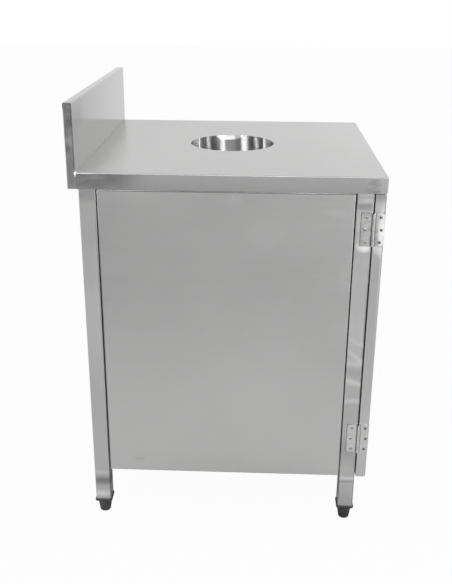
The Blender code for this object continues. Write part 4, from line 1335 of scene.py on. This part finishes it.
def stud_tree():
    """A stud with its thread cut along it, and a chamfer at both ends."""
    inputs = {
        "Diameter": 0.010,
        "Length": 0.066,
        "Pitch": 0.0015,
        "Thread Depth": 0.0009,
        "Chamfer": 0.0015,
        "Sides": 24,
        "Rings": 270,
    }
    tree, ins = new_geometry_tree("Threaded stud", inputs)
    mesh, turn, along = wrapped_grid(tree, ins["Sides"], ins["Rings"])
    last = difference(tree, ins["Rings"], 1)
    ring = math_node(tree, "ROUND", product(tree, along, last))
    # The first and the last ring close the ends, so the wall starts at the second
    walls = difference(tree, ins["Rings"], 3)
    share = math_node(tree, "DIVIDE", difference(tree, ring, 1), walls)
    level = product(tree, add_node(tree, "ShaderNodeClamp", {"Value": share}).outputs[0], ins["Length"])
    turns = difference(tree, math_node(tree, "DIVIDE", level, ins["Pitch"]), turn)
    groove = product(tree, math_node(tree, "PINGPONG", turns, 0.5), 2.0, ins["Thread Depth"])
    half = product(tree, ins["Diameter"], 0.5)
    thread = difference(tree, half, groove)
    from_end = math_node(tree, "MINIMUM", level, difference(tree, ins["Length"], level))
    lead = product(tree, difference(tree, ins["Chamfer"], from_end), 0.8)
    limit = difference(tree, half, math_node(tree, "MAXIMUM", lead, 0.0))
    past_first = math_node(tree, "GREATER_THAN", ring, 0.5)
    before_last = math_node(tree, "LESS_THAN", ring, difference(tree, ins["Rings"], 1.5))
    on_wall = product(tree, past_first, before_last)
    radius = product(tree, math_node(tree, "MINIMUM", thread, limit), on_wall)
    points = {"Points": ins["Geometry"], "Instance": wrapped(tree, mesh, turn, radius, level)}
    end_tree(tree, ins, add_node(tree, "GeometryNodeInstanceOnPoints", points).outputs[0])
    return tree


class CABINET_OT_studs(bpy.types.Operator):
    """Makes the threaded stud of each foot"""

    bl_idname = "cabinet.studs"
    bl_label = "Foot studs"

    def execute(self, context):
        settings = context.scene.cabinet_studs
        tree = stud_tree()
        for corner in CORNERS:
            node = f"foot_stud_{corner}"
            size = box_size(node)
            start = box_middle(node)
            start.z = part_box(node)[0].z
            values = from_settings(settings, "pitch", "thread_depth", "chamfer", "sides")
            values["Diameter"] = max(size.x, size.y)
            values["Length"] = size.z
            values["Rings"] = round(size.z / settings.pitch * settings.rings_per_turn)
            values["Material"] = bpy.data.materials["thread_steel"]
            places = points_mesh([(start, (0.0, 0.0, 1.0))])
            grown_piece(f"stud_{corner}", tree, places, BODY_OF[node], [node], values)
        return {"FINISHED"}


def screw_tree():
    """Pan head screws with a cross recess."""
    inputs = {
        "Head Diameter": 0.0085,
        "Head Height": 0.0024,
        "Shank Diameter": 0.004,
        "Shank Length": 0.010,
        "Recess Width": 0.0012,
        "Recess Reach": 0.005,
        "Recess Depth": 0.0015,
        "Sides": 28,
        "Seed": 7,
    }
    tree, ins = new_geometry_tree("Pan head screws", inputs)
    rim, shoulder, dome, crown = scaled(tree, ins["Head Diameter"], 0.5, 0.47, 0.38, 0.22)
    low, middle, high = scaled(tree, ins["Head Height"], 0.35, 0.68, 0.9)
    tip, shank = scaled(tree, ins["Shank Diameter"], 0.3, 0.5)
    end = product(tree, ins["Shank Length"], -1.0)
    top = ins["Head Height"]
    profile = [
        (0.0, end),
        (tip, end),
        (shank, math_node(tree, "ADD", end, tip)),
        (shank, 0.0),
        (rim, 0.0),
        (rim, low),
        (shoulder, middle),
        (dome, high),
        (crown, top),
        (0.0, top),
    ]
    shape = turned(tree, ins["Sides"], profile)
    depth = product(tree, ins["Recess Depth"], 2.0)
    recessed = add_node(
        tree, "GeometryNodeMeshBoolean", {"Mesh 1": shape}, operation="DIFFERENCE", solver="EXACT"
    )
    for x, y in (("Recess Reach", "Recess Width"), ("Recess Width", "Recess Reach")):
        sizes = {"Size": vector_of(tree, ins[x], ins[y], depth)}
        slot = add_node(tree, "GeometryNodeMeshCube", sizes).outputs["Mesh"]
        raised = {"Geometry": slot, "Translation": vector_of(tree, z=top)}
        slot = add_node(tree, "GeometryNodeTransform", raised).outputs[0]
        tree.links.new(slot, recessed.inputs["Mesh 2"])
    end_tree(tree, ins, placed_on_points(tree, ins, recessed.outputs["Mesh"]))
    return tree


def add_screws(settings, tree, name, places, node, replaced):
    """Screws of one size on the body of a node."""
    head, height, shank, length = SCREW_SIZES[name]
    values = from_settings(settings, "recess_width", "sides", "seed")
    values["Head Diameter"] = head
    values["Head Height"] = height
    values["Shank Diameter"] = shank
    values["Shank Length"] = length
    values["Recess Reach"] = head * settings.recess_share
    values["Recess Depth"] = height * settings.recess_depth_share
    values["Material"] = bpy.data.materials["screw_steel"]
    grown_piece(name, tree, points_mesh(places), BODY_OF[node], replaced, values)


class CABINET_OT_screws(bpy.types.Operator):
    """Makes the screws of the handle, the catch and its striker"""

    bl_idname = "cabinet.screws"
    bl_label = "Screws"

    def execute(self, context):
        settings = context.scene.cabinet_screws
        tree = screw_tree()
        inward = (0.0, 1.0, 0.0)
        handle = []
        for node in HANDLE_SCREWS:
            middle = box_middle(node)
            middle.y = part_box(node)[1].y - SCREW_SIZES["handle_screws"][1]
            handle.append((middle, inward))
        add_screws(settings, tree, "handle_screws", handle, HANDLE_SCREWS[0], HANDLE_SCREWS)
        low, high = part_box("catch_housing")
        across = (low.y + high.y) / 2
        ears = [(x, across, high.z - EAR_THICKNESS) for x in (low.x + EAR_INSET, high.x - EAR_INSET)]
        catch = [(ear, (0.0, 0.0, -1.0)) for ear in ears]
        add_screws(settings, tree, "catch_screws", catch, "catch_housing", [])
        striker = box_middle("catch_striker")
        striker.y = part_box("catch_striker")[1].y
        add_screws(settings, tree, "striker_screw", [(striker, inward)], "catch_striker", [])
        return {"FINISHED"}


def weld_tree():
    """A weld bead along a line: round, rippled and uneven, and drawn in at both ends."""
    inputs = {
        "Bead Radius": 0.0017,
        "Ripple Length": 0.0022,
        "Ripple Share": 0.22,
        "Unevenness": 0.5,
        "Seed": 4.0,
    }
    tree, ins = new_geometry_tree("Weld bead", inputs)
    line = add_node(tree, "GeometryNodeMeshToCurve", {"Mesh": ins["Geometry"]}).outputs[0]
    steps = {"Curve": line, "Length": math_node(tree, "DIVIDE", ins["Ripple Length"], 6.0)}
    fine = add_node(tree, "GeometryNodeResampleCurve", steps, mode="LENGTH").outputs[0]
    run = tree.nodes.new("GeometryNodeSplineParameter").outputs
    swing = math_node(tree, "PINGPONG", math_node(tree, "DIVIDE", run["Length"], ins["Ripple Length"]), 1.0)
    narrowed = product(tree, swing, ins["Ripple Share"])
    place = tree.nodes.new("GeometryNodeInputPosition").outputs[0]
    clouds = {"Vector": place, "W": ins["Seed"], "Scale": 260.0, "Detail": 1.0}
    wander = add_node(tree, "ShaderNodeTexNoise", clouds, noise_dimensions="4D").outputs["Fac"]
    wander = product(tree, difference(tree, wander, 0.5), ins["Unevenness"])
    width = sum_of(tree, difference(tree, 1.0, narrowed), wander)
    ends = math_node(tree, "SINE", product(tree, run["Factor"], math.pi))
    ends = math_node(tree, "POWER", math_node(tree, "MAXIMUM", ends, 0.02), 0.4)
    circle = {"Resolution": 12, "Radius": ins["Bead Radius"]}
    bead = {
        "Curve": fine,
        "Profile Curve": add_node(tree, "GeometryNodeCurvePrimitiveCircle", circle).outputs[0],
        "Scale": product(tree, width, ends),
        "Fill Caps": True,
    }
    end_tree(tree, ins, add_node(tree, "GeometryNodeCurveToMesh", bead).outputs[0])
    return tree


class CABINET_OT_welds(bpy.types.Operator):
    """Makes the short welds where the upstand's ends meet the worktop"""

    bl_idname = "cabinet.welds"
    bl_label = "Corner welds"

    def execute(self, context):
        settings = context.scene.cabinet_welds
        low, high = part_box("worktop")
        seam = CAP_LOW.y - WELD_FORWARD
        points = []
        edges = []
        for outside, inward in ((low.x, 1), (high.x, -1)):
            first = len(points)
            points += [(outside + inward * step, seam, TOP_LEVEL + rise) for step, rise in WELD_PATH]
            edges += [(first + number, first + number + 1) for number in range(len(WELD_PATH) - 1)]
        mesh = bpy.data.meshes.new("weld_lines")
        mesh.from_pydata(points, edges, [])
        values = from_settings(settings, "bead_radius", "ripple_length", "ripple_share", "unevenness")
        values["Material"] = bpy.data.materials["weld_steel"]
        grown_piece("corner_welds", weld_tree(), mesh, BODY_OF["worktop"], [], values)
        return {"FINISHED"}


# Stage


def floor_material(settings):
    """White paper, clear from below: white to the eye, and in reflections partly as bright as it is lit and
    partly a painted glow that fades with distance, with a painted shadow round the cabinet.
    """
    material, tree, shader = new_material("white_paper")
    shader.inputs["Base Color"].default_value = (*settings.floor_colour, 1.0)
    shader.inputs["Roughness"].default_value = PAPER_ROUGHNESS
    path = add_node(tree, "ShaderNodeLightPath").outputs
    mirrored = sum_of(tree, path["Is Glossy Ray"], path["Is Transmission Ray"])
    # Painted light and shadow for reflections: a glow that fades with distance and rises again far off, dark
    # round the cabinet
    distance = vector_node(tree, "LENGTH", object_place(tree))["Value"]
    fading = ramp(tree, distance, 0.9, 2.6, to_low=0.85, to_high=0.06)
    far_light = ramp(tree, distance, 3.2, 4.0, to_low=0.0, to_high=0.78)
    past_shadow = ramp(tree, distance, 0.38, 0.60)
    fading = product(tree, sum_of(tree, fading, far_light), past_shadow)
    level = math_node(tree, "MAXIMUM", path["Is Camera Ray"], fading)
    glow = add_node(tree, "ShaderNodeEmission", {"Strength": level})
    share = math_node(tree, "MULTIPLY_ADD", path["Is Camera Ray"], 0.96, product(tree, mirrored, 0.45))
    paper = add_node(tree, "ShaderNodeMixShader", {0: share, 1: shader.outputs[0], 2: glow.outputs[0]})
    below = add_node(tree, "ShaderNodeNewGeometry").outputs["Backfacing"]
    clear = tree.nodes.new("ShaderNodeBsdfTransparent").outputs[0]
    seen = add_node(tree, "ShaderNodeMixShader", {0: below, 1: paper.outputs[0], 2: clear})
    tree.links.new(seen.outputs[0], tree.nodes["Material Output"].inputs["Surface"])
    return material


def stage_sheet(name, corners, material):
    """A flat sheet of the stage, from its four corners."""
    mesh = bpy.data.meshes.new(name)
    mesh.from_pydata([tuple(corner) for corner in corners], [], [(0, 1, 2, 3)])
    mesh.materials.append(material)
    sheet = add_object(name, mesh)
    return sheet


def add_floor(settings):
    """A large sheet of paper under the cabinet."""
    reach = settings.floor_reach
    corners = [(-reach, -reach, 0.0), (reach, -reach, 0.0), (reach, reach, 0.0), (-reach, reach, 0.0)]
    stage_sheet("floor", corners, floor_material(settings))


def add_card(name, centre, width, height, facing, level):
    """An upright card outside the view, which the steel reflects at a given level."""
    across = Vector((-facing[1], facing[0], 0.0)).normalized() * width / 2
    up = Vector((0.0, 0.0, height / 2))
    centre = Vector(centre)
    corners = [centre - across - up, centre + across - up, centre + across + up, centre - across + up]
    material, tree, shader = new_material(name)
    shader.inputs["Base Color"].default_value = BLACK
    shader.inputs["Roughness"].default_value = PAPER_ROUGHNESS
    shader.inputs["Emission Color"].default_value = WHITE
    shader.inputs["Emission Strength"].default_value = level
    card = stage_sheet(name, corners, material)
    card.visible_camera = False
    card.visible_shadow = False
    card.visible_diffuse = False


def add_windows():
    """The window cards round the chute."""
    for number, (turn, width, level) in enumerate(WINDOWS, 1):
        angle = math.radians(turn)
        toward = Vector((-math.cos(angle), -math.sin(angle), 0.0))
        centre = box_middle("chute_collar") + toward * WINDOW_DISTANCE
        centre.z = WINDOW_LEVEL
        add_card(f"window_{number}", centre, width, WINDOW_HEIGHT, -toward, level)


def add_world(settings):
    """White all round to the eye and in reflections, with a soft even light from it."""
    world = bpy.data.worlds.new("white_room")
    world.use_nodes = True
    tree = world.node_tree
    soft = tree.nodes["Background"]
    soft.inputs["Strength"].default_value = settings.room_light
    white = add_node(tree, "ShaderNodeBackground", {"Strength": 1.0})
    for background in (soft, white):
        background.inputs["Color"].default_value = WHITE
    path = add_node(tree, "ShaderNodeLightPath").outputs
    seen = sum_of(tree, path["Is Camera Ray"], path["Is Glossy Ray"], path["Is Transmission Ray"])
    mix = add_node(tree, "ShaderNodeMixShader", {0: seen, 1: soft.outputs[0], 2: white.outputs[0]})
    tree.links.new(mix.outputs[0], tree.nodes["World Output"].inputs["Surface"])
    bpy.context.scene.world = world


def add_softbox(name, place, width, height, brightness):
    """A soft lamp of a given brightness; the steel has the cards to reflect instead."""
    data = bpy.data.lights.new(name, "AREA")
    data.shape = "RECTANGLE"
    data.size = width
    data.size_y = height
    data.energy = brightness * math.pi * width * height
    lamp = add_object(name, data)
    lamp.location = place
    lamp.rotation_euler = (Vector(SOFTBOX_AIM) - Vector(place)).to_track_quat("-Z", "Y").to_euler()
    lamp.visible_camera = False
    lamp.visible_glossy = False


def add_camera(settings):
    """The camera at the photo's angle."""
    data = bpy.data.cameras.new("camera")
    data.lens = settings.lens
    data.sensor_width = SENSOR_WIDTH
    forward = Vector(settings.camera_forward).normalized()
    right = Vector(settings.camera_right).normalized()
    turn = Matrix((right, right.cross(forward), -forward)).transposed()
    camera = add_object("camera", data)
    camera.matrix_world = Matrix.Translation(settings.camera_place) @ turn.to_4x4()
    bpy.context.scene.camera = camera


class CABINET_OT_stage(bpy.types.Operator):
    """Sets up the floor, the light and the camera"""

    bl_idname = "cabinet.stage"
    bl_label = "Stage"

    def execute(self, context):
        settings = context.scene.cabinet_stage
        context.scene.view_settings.view_transform = "Standard"
        add_world(settings)
        add_floor(settings)
        for name, card in CARDS.items():
            add_card(name, *card)
        add_windows()
        for name, softbox in SOFTBOXES.items():
            add_softbox(name, *softbox)
        add_camera(settings)
        return {"FINISHED"}


class CABINET_PT_panel(bpy.types.Panel):
    """Lists the cabinet's operators and settings"""

    bl_idname = "CABINET_PT_panel"
    bl_label = "Waste bin cabinet"
    bl_space_type = "VIEW_3D"
    bl_region_type = "UI"
    bl_category = "Cabinet"

    def draw(self, context):
        column = self.layout.column()
        for operator in OPERATORS:
            column.operator(operator.bl_idname)
        for name in SETTINGS:
            settings = getattr(context.scene, name)
            for setting in settings.__annotations__:
                column.prop(settings, setting)


SETTINGS = {
    "cabinet_stage": CabinetStageSettings,
    "cabinet_finish": CabinetFinishSettings,
    "cabinet_rivets": CabinetRivetSettings,
    "cabinet_studs": CabinetStudSettings,
    "cabinet_screws": CabinetScrewSettings,
    "cabinet_welds": CabinetWeldSettings,
}
OPERATORS = (
    CABINET_OT_stage,
    CABINET_OT_finishes,
    CABINET_OT_rivets,
    CABINET_OT_studs,
    CABINET_OT_screws,
    CABINET_OT_welds,
)


def register():
    for group in SETTINGS.values():
        bpy.utils.register_class(group)
    for name, group in SETTINGS.items():
        setattr(bpy.types.Scene, name, PointerProperty(type=group))
    for operator in OPERATORS:
        bpy.utils.register_class(operator)
    bpy.utils.register_class(CABINET_PT_panel)


def unregister():
    bpy.utils.unregister_class(CABINET_PT_panel)
    for operator in reversed(OPERATORS):
        bpy.utils.unregister_class(operator)
    for name in SETTINGS:
        delattr(bpy.types.Scene, name)
    for group in SETTINGS.values():
        bpy.utils.unregister_class(group)


def main():
    register()
    bpy.ops.cabinet.stage()
    bpy.ops.cabinet.finishes()
    bpy.ops.cabinet.rivets()
    bpy.ops.cabinet.studs()
    bpy.ops.cabinet.screws()
    bpy.ops.cabinet.welds()


if __name__ == "__main__":
    main()
